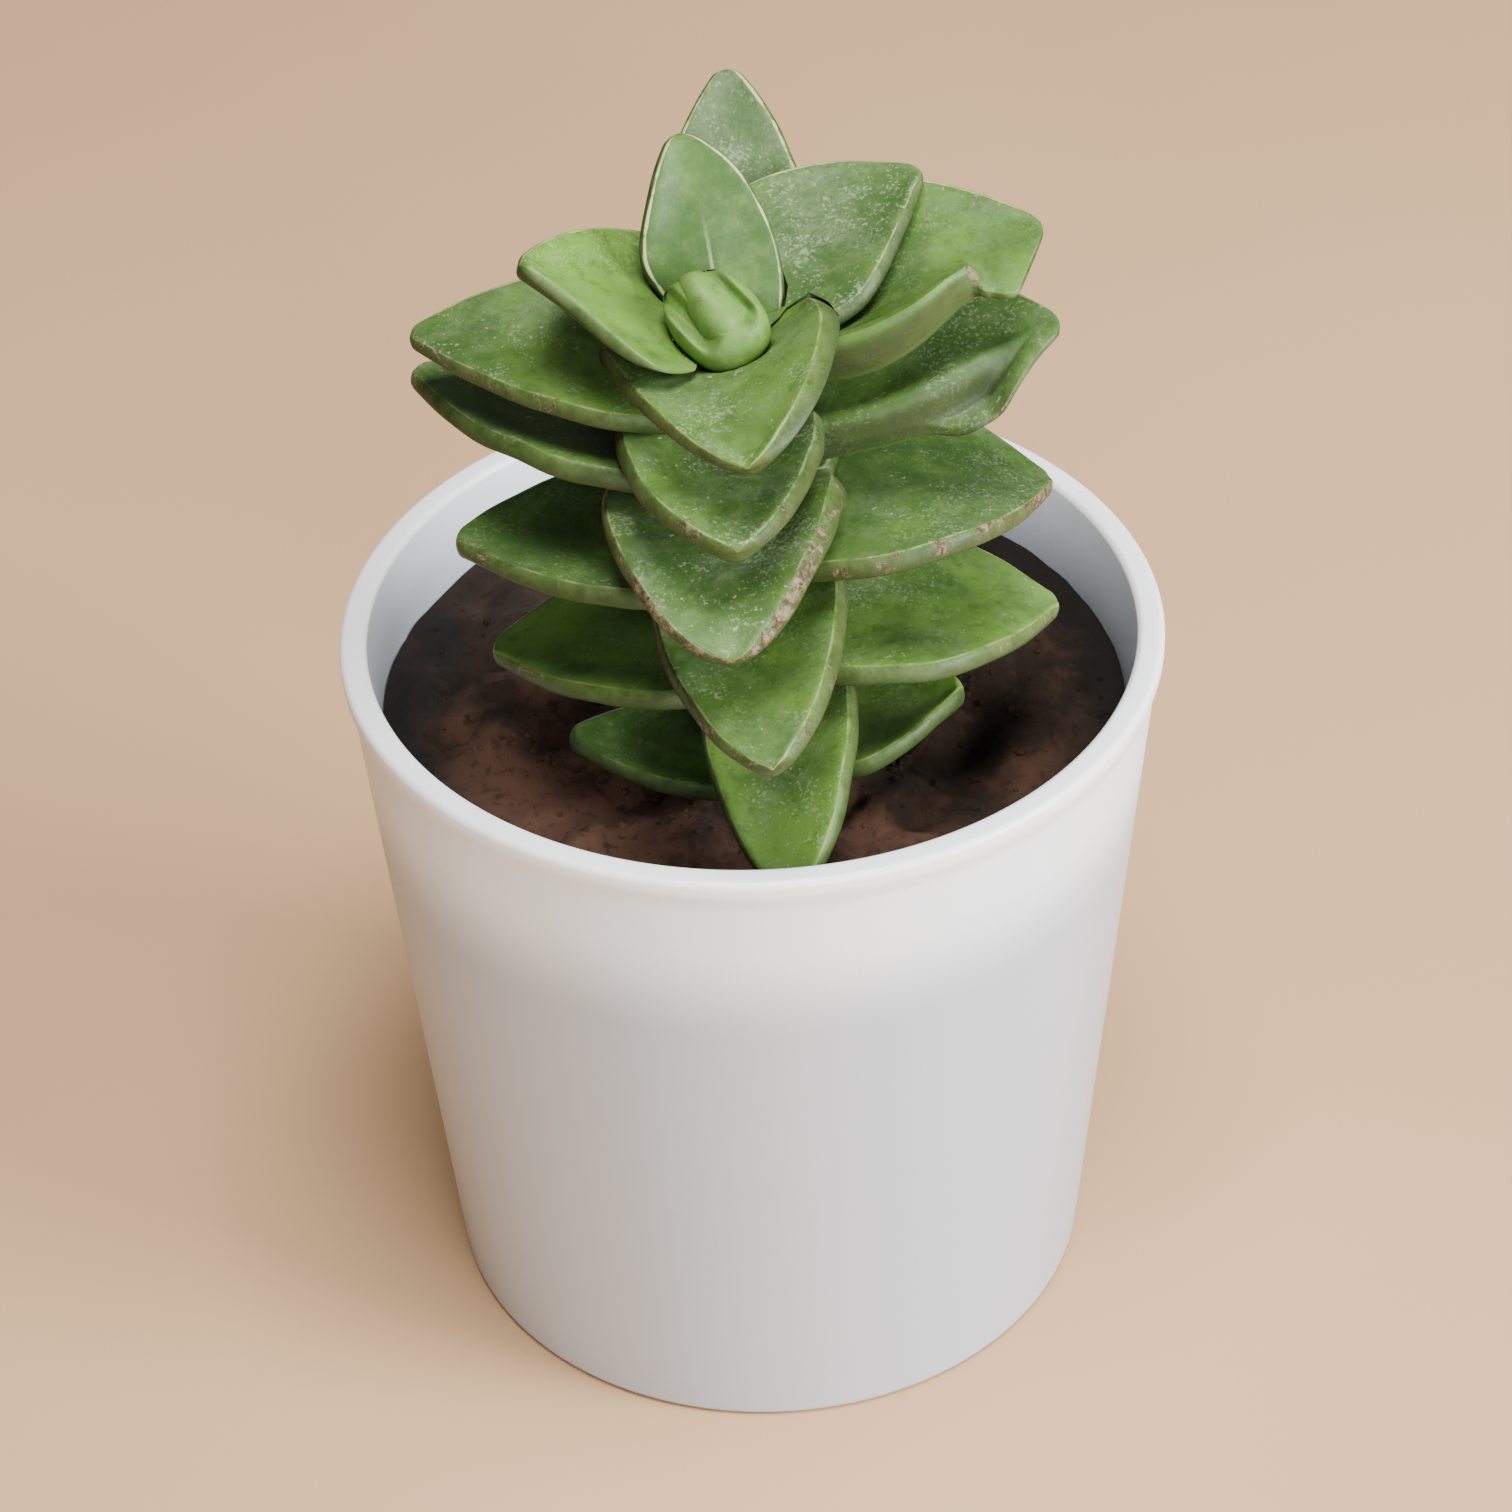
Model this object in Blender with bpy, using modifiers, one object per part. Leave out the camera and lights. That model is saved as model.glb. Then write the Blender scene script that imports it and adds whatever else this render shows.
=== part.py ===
"""Potted springtime crassula: a column of thick paired leaves on one stem, in a plain round pot.

The leaves stand in pairs, and each pair is turned a quarter turn from the next. Pair 1 is the
youngest, at the top of the stem, and pair 12 lies just above the soil. A leaf is named by its
pair and by the side that it points to: right is +X, back is +Y, left is -X and front is -Y.
"""

import math

import bmesh
import bpy
import numpy as np

MM = 0.001
GAP = 0.3 * MM
PRESSED_GAP = 0.42 * MM

# Pot: outside sizes, with a small lip round the rim
POT_HEIGHT = 86 * MM
RIM_RADIUS = 45 * MM
BASE_RADIUS = 36.8 * MM
POT_WALL = 2.6 * MM
POT_FLOOR = 4 * MM
LIP_HEIGHT = 3 * MM
LIP_DEPTH = 0.4 * MM
EDGE_RADIUS = 1.1 * MM
POT_STEPS = 64

# Soil
SOIL_DEPTH_BELOW_RIM = 10.5 * MM
SOIL_LUMP = 1.1 * MM
SOIL_STEPS = 40
SOIL_LUMP_SEED = 4

# Stem: it stands in front of the pot's middle and curves a little to the left as it rises
STEM_FOOT = (3.2 * MM, -15.5 * MM)
STEM_SWAY = -5.6 * MM
SWAY_FROM = 78 * MM
SWAY_TO = 122 * MM
STEM_ROOT_DEPTH = 16 * MM
STEM_RADIUS_BELOW = 3.2 * MM
STEM_RADIUS_ABOVE = 1.6 * MM
STEM_POINTS = 14
STEM_END_BELOW_TOP = 3.2 * MM

# Leaf pairs: heights on the stem, with stem joints that lengthen downwards
TOP_PAIR_HEIGHT = 136.5 * MM
TOP_JOINT = 2.2 * MM
JOINT_GROWTH = 0.56 * MM

# Every leaf: thickness in the middle and at its blunt edge, and how far its edges rise
LEAF_THICKNESS = 4.0 * MM
EDGE_THICKNESS = 2.4 * MM
TIP_RADIUS = 1.0 * MM
CUPPING = 0.12
DEEP_CUPPING = {"leaf_03_front": 0.18}
LEAF_RINGS = 11

# Young front leaf, a blunt cup, and the bud that lies in it. Middle of the cup from the stem's
# top, half sizes along, across and up, and how the bud sits in the cup.
CUP_OFFSET = (-0.2 * MM, -4.2 * MM, 2.0 * MM)
CUP_HALF_SIZES = (6.3 * MM, 4.5 * MM, 3.8 * MM)
BUD_HALF_SIZES = (5.3 * MM, 1.9 * MM, 3.0 * MM)
BUD_BACK = 1.2 * MM
BUD_LIFT = 1.2 * MM
BUD_HEADING = 322
BUD_RISE = -32
BLUNTNESS = 2.5

# One line a leaf. Angles in degrees: heading from +X towards +Y, rise above the horizontal at
# the stem, curl (change of rise from stem to tip), sweep (change of heading) and roll about the
# midrib. Then length and width in millimetres.
LEAVES = {
    "leaf_01_back": (95, 50, 0, 22, 2, 18.2, 12.6),
    "leaf_02_right": (50, 19, -1, -29, 8, 27.5, 20.5),
    "leaf_02_left": (180, 24, 10, 18, -5, 22, 21),
    "leaf_03_front": (281.5, 32, -49, -12, 14, 26, 23.3),
    "leaf_03_back": (81.5, 15, 27, 11, -4, 33.4, 16.8),
    "leaf_04_left": (168, 17, -24, 2, -9, 32.5, 21),
    "leaf_04_right": (17, 31, -25, -2, 12, 35.8, 29),
    "leaf_05_front": (266, 8, -10, 14, -2, 25.2, 21),
    "leaf_05_back": (93, 20, -10, 0, 0, 29, 21),
    "leaf_06_left": (166, 9, -6, -11, 6, 34, 24.5),
    "leaf_06_right": (13, 26, -21, -3, 12, 36.2, 30),
    "leaf_07_front": (264, 24, -54, 12, 3, 28.6, 24.5),
    "leaf_07_back": (88, 10, -8, 0, 0, 30, 23),
    "leaf_08_left": (185, 2, 2, -5, 0, 29, 23),
    "leaf_08_right": (13, 24, -54, 8, 2, 36.5, 30),
    "leaf_09_front": (270, 6, -18, 7, 5, 29.6, 20),
    "leaf_09_back": (90, 10, -12, 0, 0, 30, 23),
    "leaf_10_left": (183, 4, -17, -12, -6, 29, 21),
    "leaf_10_right": (14, 8, -28, 0, 0, 33.5, 27.5),
    "leaf_11_front": (273, 0, -38, 0, 12, 26.5, 15.2),
    "leaf_11_back": (94, 4, -16, 0, 0, 27, 20),
    "leaf_12_left": (187, 3, 8, -11, -5, 23, 15),
    "leaf_12_right": (8, 19, -4, -6, 0, 20, 18),
}

# Leaves begin this far outside the stem's skin. The youngest back leaf stands over the end of
# the stem, so it begins nearer to the stem's middle, and its base reaches round the bud.
STEM_CLEARANCE = 0.6 * MM
TOP_LEAF_START = 1.2 * MM
TOP_LEAF_LOBE = 2.4 * MM

# Front leaves are triangular, widest near the stem, and the others are more oval. Share of the
# full width at the stem, share of the length where it is widest, and the two edge powers.
OUTLINES = {
    "front": (0.92, 0.16, 1.6, 0.8),
    "top": (0.95, 0.20, 1.75, 0.85),
    "back": (0.80, 0.36, 1.8, 0.85),
    "left": (0.66, 0.36, 1.8, 0.85),
    "right": (0.55, 0.40, 1.9, 0.85),
    "folded": (0.30, 0.45, 1.9, 0.85),
}

# Two right-hand leaves have their front edge folded up: share of the half width where the fold
# runs, fold angle, shares of the length where it begins and ends, and how much of the strip's
# width is left outside the fold
FOLDS = {
    "leaf_04_right": (0.44, 72, 0.20, 0.76, 0.50),
    "leaf_06_right": (0.52, 66, 0.16, 0.84, 0.58),
}

# Leaves that press on each other: each leaf is cut by the swollen shapes of those after it
PRESSED_BY = {
    "leaf_02_left": ("leaf_01_back", "leaf_01_front", "leaf_02_right"),
    "leaf_02_right": ("leaf_01_back", "leaf_01_front", "leaf_03_front"),
    "leaf_03_back": ("leaf_02_left", "leaf_02_right", "leaf_03_front"),
    "leaf_03_front": ("leaf_01_back", "leaf_01_front", "leaf_02_left"),
    "leaf_04_left": ("leaf_03_back", "leaf_03_front", "leaf_04_right"),
    "leaf_04_right": ("leaf_03_back", "leaf_02_right", "leaf_03_front"),
    "leaf_05_back": ("leaf_04_left", "leaf_04_right", "leaf_06_left", "leaf_06_right"),
    "leaf_05_front": ("leaf_04_left", "leaf_04_right"),
    "leaf_06_left": ("leaf_05_front",),
    "leaf_06_right": ("leaf_05_front", "leaf_06_left"),
    "leaf_07_front": ("leaf_06_left", "leaf_06_right"),
    "leaf_07_back": ("leaf_06_left", "leaf_06_right", "leaf_08_right"),
}


def smooth_step(start, end, values):
    t = np.clip((values - start) / (end - start), 0.0, 1.0)
    return t * t * (3.0 - 2.0 * t)


def clear_scene():
    for obj in list(bpy.data.objects):
        bpy.data.objects.remove(obj, do_unlink=True)


def new_collection(name):
    collection = bpy.data.collections.new(name)
    bpy.context.scene.collection.children.link(collection)
    return collection


def material(name, colour, roughness):
    made = bpy.data.materials.new(name)
    made.use_nodes = True
    shader = made.node_tree.nodes["Principled BSDF"]
    shader.inputs["Base Color"].default_value = (*colour, 1.0)
    shader.inputs["Roughness"].default_value = roughness
    shader.inputs["Metallic"].default_value = 0.0
    return made


def add_mesh(name, points, faces, collection):
    mesh = bpy.data.meshes.new(name)
    mesh.from_pydata([tuple(p) for p in points], [], faces)
    mesh.validate()
    obj = bpy.data.objects.new(name, mesh)
    collection.objects.link(obj)
    return obj


def point_faces_outwards(mesh):
    bm = bmesh.new()
    bm.from_mesh(mesh)
    bmesh.ops.recalc_face_normals(bm, faces=bm.faces)
    bm.to_mesh(mesh)
    bm.free()


def shade_smooth(obj, sharp_angle):
    obj.data.shade_smooth()
    obj.data.set_sharp_from_angle(angle=math.radians(sharp_angle))


def turned(name, profile, steps, collection):
    """An object turned about Z from (radius, height) points, in order along its section."""
    points = [(radius, 0.0, height) for radius, height in profile]
    mesh = bpy.data.meshes.new(name)
    mesh.from_pydata(points, [(i, i + 1) for i in range(len(points) - 1)], [])
    obj = bpy.data.objects.new(name, mesh)
    collection.objects.link(obj)
    screw = obj.modifiers.new("turn", "SCREW")
    screw.axis = "Z"
    screw.steps = steps
    screw.render_steps = steps
    screw.use_merge_vertices = True
    screw.merge_threshold = 0.00001
    return obj


def apply_modifiers(obj):
    graph = bpy.context.evaluated_depsgraph_get()
    mesh = bpy.data.meshes.new_from_object(obj.evaluated_get(graph))
    obj.modifiers.clear()
    obj.data = mesh


def arc(centre, radius, start, end, count):
    """(radius, height) points round a quarter or so of a circle, with angles in degrees from +X."""
    angles = np.radians(np.linspace(start, end, count))
    return [(centre[0] + radius * math.cos(a), centre[1] + radius * math.sin(a)) for a in angles]


def wall_radius(height):
    """Outside radius of the pot's tapered wall, below the lip."""
    share = height / POT_HEIGHT
    return BASE_RADIUS + (RIM_RADIUS - LIP_DEPTH - BASE_RADIUS) * share


def make_pot(collection):
    inside_top = RIM_RADIUS - POT_WALL - LIP_DEPTH
    inside_floor = wall_radius(POT_FLOOR) - POT_WALL
    lip_foot = POT_HEIGHT - LIP_HEIGHT
    profile = [(0.0, POT_FLOOR), (inside_floor - EDGE_RADIUS, POT_FLOOR)]
    profile += [(inside_floor, POT_FLOOR + EDGE_RADIUS)]
    profile += arc((inside_top + EDGE_RADIUS, POT_HEIGHT - EDGE_RADIUS), EDGE_RADIUS, 180, 90, 4)
    profile += arc((RIM_RADIUS - EDGE_RADIUS, POT_HEIGHT - EDGE_RADIUS), EDGE_RADIUS, 90, 0, 5)
    profile += [(RIM_RADIUS, lip_foot + LIP_DEPTH), (wall_radius(lip_foot), lip_foot)]
    profile += arc((BASE_RADIUS - EDGE_RADIUS, EDGE_RADIUS), EDGE_RADIUS, 0, -90, 4)
    profile += [(0.0, 0.0)]
    pot = turned("pot", profile, POT_STEPS, collection)
    apply_modifiers(pot)
    shade_smooth(pot, 50)
    pot.data.materials.append(material("pot_ceramic", (0.78, 0.79, 0.81), 0.45))
    return pot


def soil_surface_height():
    return POT_HEIGHT - SOIL_DEPTH_BELOW_RIM


def make_soil(collection, cutters):
    """The soil fills the pot to a lumpy top, and holds the stem in a plain round hole."""
    surface = soil_surface_height()
    bottom = POT_FLOOR + GAP + EDGE_RADIUS
    top_radius = wall_radius(surface) - POT_WALL - 2 * GAP
    bottom_radius = wall_radius(bottom) - POT_WALL - 2 * GAP
    rings = [top_radius * k / 9 for k in range(10)]
    profile = [(radius, surface) for radius in rings]
    profile += [(bottom_radius, bottom), (0.0, bottom)]
    soil = turned("soil", profile, SOIL_STEPS, collection)
    apply_modifiers(soil)
    random = np.random.default_rng(SOIL_LUMP_SEED)
    waves = random.normal(0.0, 330.0, (9, 2))
    phases = random.uniform(0.0, 2 * math.pi, 9)
    for vertex in soil.data.vertices:
        place = np.array(vertex.co)
        if abs(place[2] - surface) < 0.1 * MM:
            lump = np.cos(waves @ place[:2] + phases).sum() / 3.0
            away_from_wall = 1.0 - smooth_step(0.8, 1.0, math.hypot(place[0], place[1]) / top_radius)
            vertex.co.z = surface + SOIL_LUMP * lump * (0.3 + 0.7 * away_from_wall)
    hole = round_cutter("stem_hole", stem_place(surface), STEM_RADIUS_BELOW + 2 * GAP, cutters)
    cut = soil.modifiers.new("hole", "BOOLEAN")
    cut.operation = "DIFFERENCE"
    cut.solver = "EXACT"
    cut.object = hole
    soil.data.materials.append(material("soil", (0.055, 0.032, 0.022), 0.95))
    return soil


def round_cutter(name, place, radius, cutters):
    depth = STEM_ROOT_DEPTH + 2 * GAP
    reach = 8 * MM
    bm = bmesh.new()
    bmesh.ops.create_cone(
        bm, cap_ends=True, segments=24, radius1=radius, radius2=radius, depth=depth + reach
    )
    bmesh.ops.translate(bm, verts=bm.verts, vec=(place[0], place[1], place[2] + (reach - depth) / 2))
    mesh = bpy.data.meshes.new(name)
    bm.to_mesh(mesh)
    bm.free()
    obj = bpy.data.objects.new(name, mesh)
    obj.hide_render = True
    obj.display_type = "WIRE"
    cutters.objects.link(obj)
    return obj


def stem_place(height):
    """The stem's middle at a height: upright at the soil, then swaying to the left, then upright."""
    sway = STEM_SWAY * float(smooth_step(SWAY_FROM, SWAY_TO, np.array(height)))
    return np.array([STEM_FOOT[0] + sway, STEM_FOOT[1], height])


def stem_radius(height):
    share = (height - soil_surface_height()) / (TOP_PAIR_HEIGHT - soil_surface_height())
    return STEM_RADIUS_BELOW + (STEM_RADIUS_ABOVE - STEM_RADIUS_BELOW) * min(max(share, 0.0), 1.0)


def make_stem(collection):
    """A tapering tube along the stem's middle line, from inside the soil to the top pair."""
    curve = bpy.data.curves.new("stem", "CURVE")
    curve.dimensions = "3D"
    curve.bevel_depth = 1.0
    curve.bevel_resolution = 2
    curve.use_fill_caps = True
    spline = curve.splines.new("POLY")
    spline.points.add(STEM_POINTS - 1)
    low = soil_surface_height() - STEM_ROOT_DEPTH
    high = TOP_PAIR_HEIGHT - STEM_END_BELOW_TOP
    for point, height in zip(spline.points, np.linspace(low, high, STEM_POINTS)):
        point.co = (*stem_place(height), 1.0)
        point.radius = stem_radius(height)
    stem = bpy.data.objects.new("stem", curve)
    collection.objects.link(stem)
    curve.materials.append(material("stem_skin", (0.20, 0.24, 0.09), 0.6))
    return stem


def pair_height(pair):
    """Height on the stem of a pair, counted from the top."""
    above = pair - 1
    return TOP_PAIR_HEIGHT - TOP_JOINT * above - JOINT_GROWTH * above * (above - 1) / 2


def leaf_half_width(share, width, outline):
    """Half width along a leaf: a sine rise to the widest place, then a power fall to the tip."""
    base, widest, power, roundness = outline
    rise = base + (1.0 - base) * np.sin(0.5 * math.pi * np.clip(share / widest, 0.0, 1.0))
    fall = (1.0 - np.clip((share - widest) / (1.0 - widest), 0.0, 1.0) ** power) ** roundness
    shape = np.where(share > widest, fall, rise)
    return TIP_RADIUS + (width / 2 - TIP_RADIUS) * shape


def leaf_frame(base, angles, length, share):
    """Midrib points and the side and up directions there. share is 0 at the stem, 1 at the tip."""
    heading, rise, curl, sweep, roll = [math.radians(a) for a in angles]
    fine = np.linspace(0.0, 1.0, 101)

    def forward(at):
        flat, lift = heading + sweep * at, rise + curl * at
        return np.stack([np.cos(lift) * np.cos(flat), np.cos(lift) * np.sin(flat), np.sin(lift)], -1)

    steps = (forward(fine[1:]) + forward(fine[:-1])) / 2 * (length / 100)
    path = base + np.concatenate([np.zeros((1, 3)), np.cumsum(steps, axis=0)])
    middle = np.stack([np.interp(share, fine, path[:, axis]) for axis in range(3)], -1)
    flat = heading + sweep * share
    side = np.stack([-np.sin(flat), np.cos(flat), 0.0 * flat], -1)
    up = np.cross(forward(share), side)
    return (
        middle,
        side * math.cos(roll) + up * math.sin(roll),
        up * math.cos(roll) - side * math.sin(roll),
    )


def leaf_points(name, share, across, level, swell=0.0):
    """Points of a leaf's skin.

    across runs from -1 to 1 over the width. level is 1 on the upper face, 0 at the edge and -1 on
    the lower face. The upper face is a shallow trough, the lower face bulges, and the edge between
    them is blunt. swell moves the skin outwards.
    """
    pair = int(name.split("_")[1])
    facing = name.split("_")[2]
    *angles, length, width = LEAVES[name]
    base = stem_place(pair_height(pair))
    middle, side, up = leaf_frame(base, angles, length * MM, share)
    outline = OUTLINES["top" if pair == 1 else "folded" if name in FOLDS else facing]
    half = leaf_half_width(share, width * MM, outline)
    sideways = half * across
    rise = DEEP_CUPPING.get(name, CUPPING) * half * across**2
    slope = np.zeros_like(half)
    if name in FOLDS:
        aside, climb, slope = folded(FOLDS[name], share, across, half)
        sideways = np.where(across < 0.0, -aside, sideways)
        rise = rise + climb
    middle_thickness, edge_thickness = leaf_thickness(pair)
    thickness = edge_thickness + (middle_thickness - edge_thickness) * (1.0 - across**2) ** 0.8
    thickness = thickness * (1.0 - 0.35 * share**2)
    drop = np.where(level > 0.5, -swell, np.where(level < -0.5, thickness + swell, thickness / 2))
    bulge = np.where(abs(level) < 0.5, 0.35 * edge_thickness + swell, swell)
    outwards = np.sign(across) * np.where(abs(across) > 0.99, bulge, 0.0)
    along_side = sideways + outwards * np.cos(slope) - drop * np.sin(slope)
    along_up = rise - drop * np.cos(slope) - outwards * np.sin(slope)
    lobe = leaf_lobe(name) * across**4 * (1.0 - share) ** 2
    skin = middle + side * along_side[..., None] + up * along_up[..., None]
    return skin - np.cross(side, up) * lobe[..., None]


def leaf_thickness(pair):
    """The crowded top leaves are thinner than the grown ones below."""
    grown = min(1.0, 0.62 + 0.1 * (pair - 1))
    return LEAF_THICKNESS * grown, EDGE_THICKNESS * grown


def folded(fold, share, across, half):
    """The front edge bent up about a line beside the midrib.

    Walks from the midrib to the edge with a slope that turns from flat to the fold angle, and
    returns how far that leads sideways and up, and the slope there.
    """
    line, angle, begin, end, strip = fold
    begun = smooth_step(begin, begin + 0.12, share)
    amount = begun * (1.0 - smooth_step(end - 0.07, end + 0.07, share))
    steps = np.linspace(0.0, 1.0, 41)
    turned_part = smooth_step(line - 0.12, line + 0.12, steps)
    slope = math.radians(angle) * amount[..., None] * turned_part
    pace = (1.0 - (1.0 - strip) * amount[..., None] * turned_part) * half[..., None] / 40
    at = np.clip(-across, 0.0, 1.0) * 40
    low = np.minimum(at.astype(int), 39)

    def picked(values):
        before = np.take_along_axis(values, low[..., None], -1)[..., 0]
        after = np.take_along_axis(values, low[..., None] + 1, -1)[..., 0]
        return before + (after - before) * (at - low)

    def walked(values):
        halfway = (values[..., 1:] + values[..., :-1]) / 2
        start = np.zeros_like(values[..., :1])
        return picked(np.concatenate([start, np.cumsum(halfway, axis=-1)], axis=-1))

    return walked(np.cos(slope) * pace), walked(np.sin(slope) * pace), picked(slope)


def leaf_lobe(name):
    """How far the two sides of a front or back leaf reach back round the stem."""
    if name == "leaf_01_back":
        return TOP_LEAF_LOBE
    if name.endswith(("left", "right")):
        return 0.0
    return start_distance(name) - 2 * GAP


def start_distance(name):
    """Distance along the midrib, from the stem's middle line, at which the leaf's solid begins."""
    if name == "leaf_01_back":
        return TOP_LEAF_START
    pair = int(name.split("_")[1])
    return stem_radius(pair_height(pair) - LEAF_THICKNESS) + STEM_CLEARANCE


def leaf_object(name, collection, swell=0.0):
    """A closed loft through rings of 14 points, from just clear of the stem to the tip."""
    *_, length, _ = LEAVES[name]
    first = start_distance(name) / (length * MM)
    share = first + (1.0 - first) * np.linspace(0.0, 1.0, LEAF_RINGS) ** 0.85
    share[0] -= swell / (length * MM)
    share[-1] += swell / (length * MM)
    over = [-1, -0.66, -0.25, 0.25, 0.66, 1]
    if name in FOLDS:
        line = FOLDS[name][0]
        over = [-1, -line - 0.12, -line + 0.12, 0.2, 0.66, 1]
    across = np.array(over + [1] + over[::-1] + [-1], float)
    level = np.array([1] * 6 + [0] + [-1] * 6 + [0], float)
    points = leaf_points(name, share[:, None] + 0 * across, across + 0 * share[:, None], level, swell)
    around = len(across)
    faces = []
    for ring in range(LEAF_RINGS - 1):
        for k in range(around):
            a, b = ring * around + k, ring * around + (k + 1) % around
            faces.append((a, b, b + around, a + around))
    faces.append(tuple(range(around))[::-1])
    faces.append(tuple(range((LEAF_RINGS - 1) * around, LEAF_RINGS * around)))
    obj = add_mesh(name, points.reshape(-1, 3), faces, collection)
    point_faces_outwards(obj.data)
    return obj


def cut_away(target, cutter):
    cut = target.modifiers.new("cut", "BOOLEAN")
    cut.operation = "DIFFERENCE"
    cut.solver = "EXACT"
    cut.use_self = True
    cut.object = cutter
    apply_modifiers(target)
    bpy.data.objects.remove(cutter, do_unlink=True)


def cut_by_neighbours(leaf, cutters):
    """Takes the swollen shapes of the neighbours out of a leaf, and keeps its largest piece."""
    for neighbour in PRESSED_BY.get(leaf.name, ()):
        if neighbour == "leaf_01_front":
            cut_away(leaf, cup_shape("swollen", cutters, PRESSED_GAP))
        else:
            cut_away(leaf, leaf_object(neighbour, cutters, PRESSED_GAP))
    keep_largest_piece(leaf.data)


def keep_largest_piece(mesh):
    bm = bmesh.new()
    bm.from_mesh(mesh)
    unseen = set(bm.verts)
    pieces = []
    while unseen:
        piece, edge_of_piece = set(), [unseen.pop()]
        while edge_of_piece:
            vertex = edge_of_piece.pop()
            piece.add(vertex)
            joined = {edge.other_vert(vertex) for edge in vertex.link_edges} & unseen
            unseen -= joined
            edge_of_piece.extend(joined)
        pieces.append(piece)
    pieces.sort(key=len)
    for piece in pieces[:-1]:
        bmesh.ops.delete(bm, geom=list(piece), context="VERTS")
    bm.to_mesh(mesh)
    bm.free()


def make_leaves(collection, cutters):
    skin = material("leaf_skin", (0.12, 0.26, 0.055), 0.5)
    for name in LEAVES:
        leaf = leaf_object(name, collection)
        leaf.data.materials.append(skin)
        cut_by_neighbours(leaf, cutters)
        shade_smooth(leaf, 60)


def blunt_egg(name, half_sizes, offset, collection):
    """A rounded block that lies along the bud's heading, with offset along and up from the cup."""
    bm = bmesh.new()
    bmesh.ops.create_uvsphere(bm, u_segments=20, v_segments=12, radius=1.0)
    heading, rise = math.radians(BUD_HEADING), math.radians(BUD_RISE)
    along = np.array(
        [math.cos(rise) * math.cos(heading), math.cos(rise) * math.sin(heading), math.sin(rise)]
    )
    side = np.array([-math.sin(heading), math.cos(heading), 0.0])
    axes = np.array([along, side, np.cross(along, side)])
    middle = stem_place(TOP_PAIR_HEIGHT) + np.array(CUP_OFFSET)
    for vertex in bm.verts:
        ball = np.array(vertex.co)
        block = ball / (abs(ball) ** BLUNTNESS).sum() ** (1 / BLUNTNESS)
        vertex.co = middle + (block * half_sizes + offset) @ axes
    mesh = bpy.data.meshes.new(name)
    bm.to_mesh(mesh)
    bm.free()
    obj = bpy.data.objects.new(name, mesh)
    collection.objects.link(obj)
    return obj


def cup_shape(name, collection, swell=0.0):
    return blunt_egg(name, np.array(CUP_HALF_SIZES) + swell, np.zeros(3), collection)


def bud_shape(name, collection, swell=0.0):
    offset = np.array([-BUD_BACK, 0.0, BUD_LIFT])
    return blunt_egg(name, np.array(BUD_HALF_SIZES) + swell, offset, collection)


def make_bud(collection, cutters):
    """The young front leaf wraps round the closed bud, which shows as a ridge between its edges."""
    cup = cup_shape("leaf_01_front", collection)
    cut_away(cup, bud_shape("swollen", cutters, GAP))
    cut_away(cup, leaf_object("leaf_01_back", cutters, GAP))
    bud = bud_shape("bud", collection)
    cut_away(bud, leaf_object("leaf_01_back", cutters, GAP))
    skin = material("bud_skin", (0.16, 0.33, 0.07), 0.5)
    for obj in (cup, bud):
        obj.data.materials.append(skin)
        shade_smooth(obj, 50)


def main():
    clear_scene()
    parts = new_collection("potted_springtime_crassula")
    cutters = new_collection("cutters")
    make_pot(parts)
    make_soil(parts, cutters)
    make_stem(parts)
    make_leaves(parts, cutters)
    make_bud(parts, cutters)


main()
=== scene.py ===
"""The looks of the potted springtime crassula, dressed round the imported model.

Lengths are in metres, and mm stands for a thousandth of one. +Z is up, the pot stands on the
floor at zero, and -Y is the front.
"""

import math

import bmesh
import bpy
import numpy as np
from mathutils import Matrix


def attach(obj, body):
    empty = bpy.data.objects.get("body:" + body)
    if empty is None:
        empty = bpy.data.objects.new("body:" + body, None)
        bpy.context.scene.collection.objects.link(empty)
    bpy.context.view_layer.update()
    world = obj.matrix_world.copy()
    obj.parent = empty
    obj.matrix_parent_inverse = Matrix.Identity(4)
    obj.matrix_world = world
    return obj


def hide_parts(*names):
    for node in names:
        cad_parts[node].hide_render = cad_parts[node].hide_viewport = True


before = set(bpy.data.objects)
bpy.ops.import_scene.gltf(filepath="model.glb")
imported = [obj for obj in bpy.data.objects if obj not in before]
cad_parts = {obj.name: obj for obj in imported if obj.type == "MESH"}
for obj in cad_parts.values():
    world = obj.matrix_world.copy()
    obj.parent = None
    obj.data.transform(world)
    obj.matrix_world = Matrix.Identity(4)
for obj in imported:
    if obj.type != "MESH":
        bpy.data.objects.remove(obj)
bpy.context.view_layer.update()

mm = 0.001
collection = bpy.context.scene.collection


# ------------------------------------------------------------------------------------------------
# Camera: a long lens that looks down on the plant from the front, at 38 degrees, as the photo was
# taken. The roll of two degrees is the photographer's.
camera_place = (0.0, -415.556 * mm, 396.738 * mm)
camera_pitch = math.radians(-38.42)
camera_roll = math.radians(-1.858)
camera_lens, camera_sensor = 113.16, 36.0
nearest_seen = 10 * mm

camera_data = bpy.data.cameras.new("camera")
camera_data.sensor_width = camera_sensor
camera_data.lens = camera_lens
camera_data.clip_start = nearest_seen
camera = bpy.data.objects.new("camera", camera_data)
collection.objects.link(camera)
tilt_down = Matrix.Rotation(math.pi / 2 + camera_pitch, 4, "X")
rolled = Matrix.Rotation(camera_roll, 4, "Z")
camera.matrix_world = Matrix.Translation(camera_place) @ tilt_down @ rolled
bpy.context.scene.camera = camera


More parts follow.
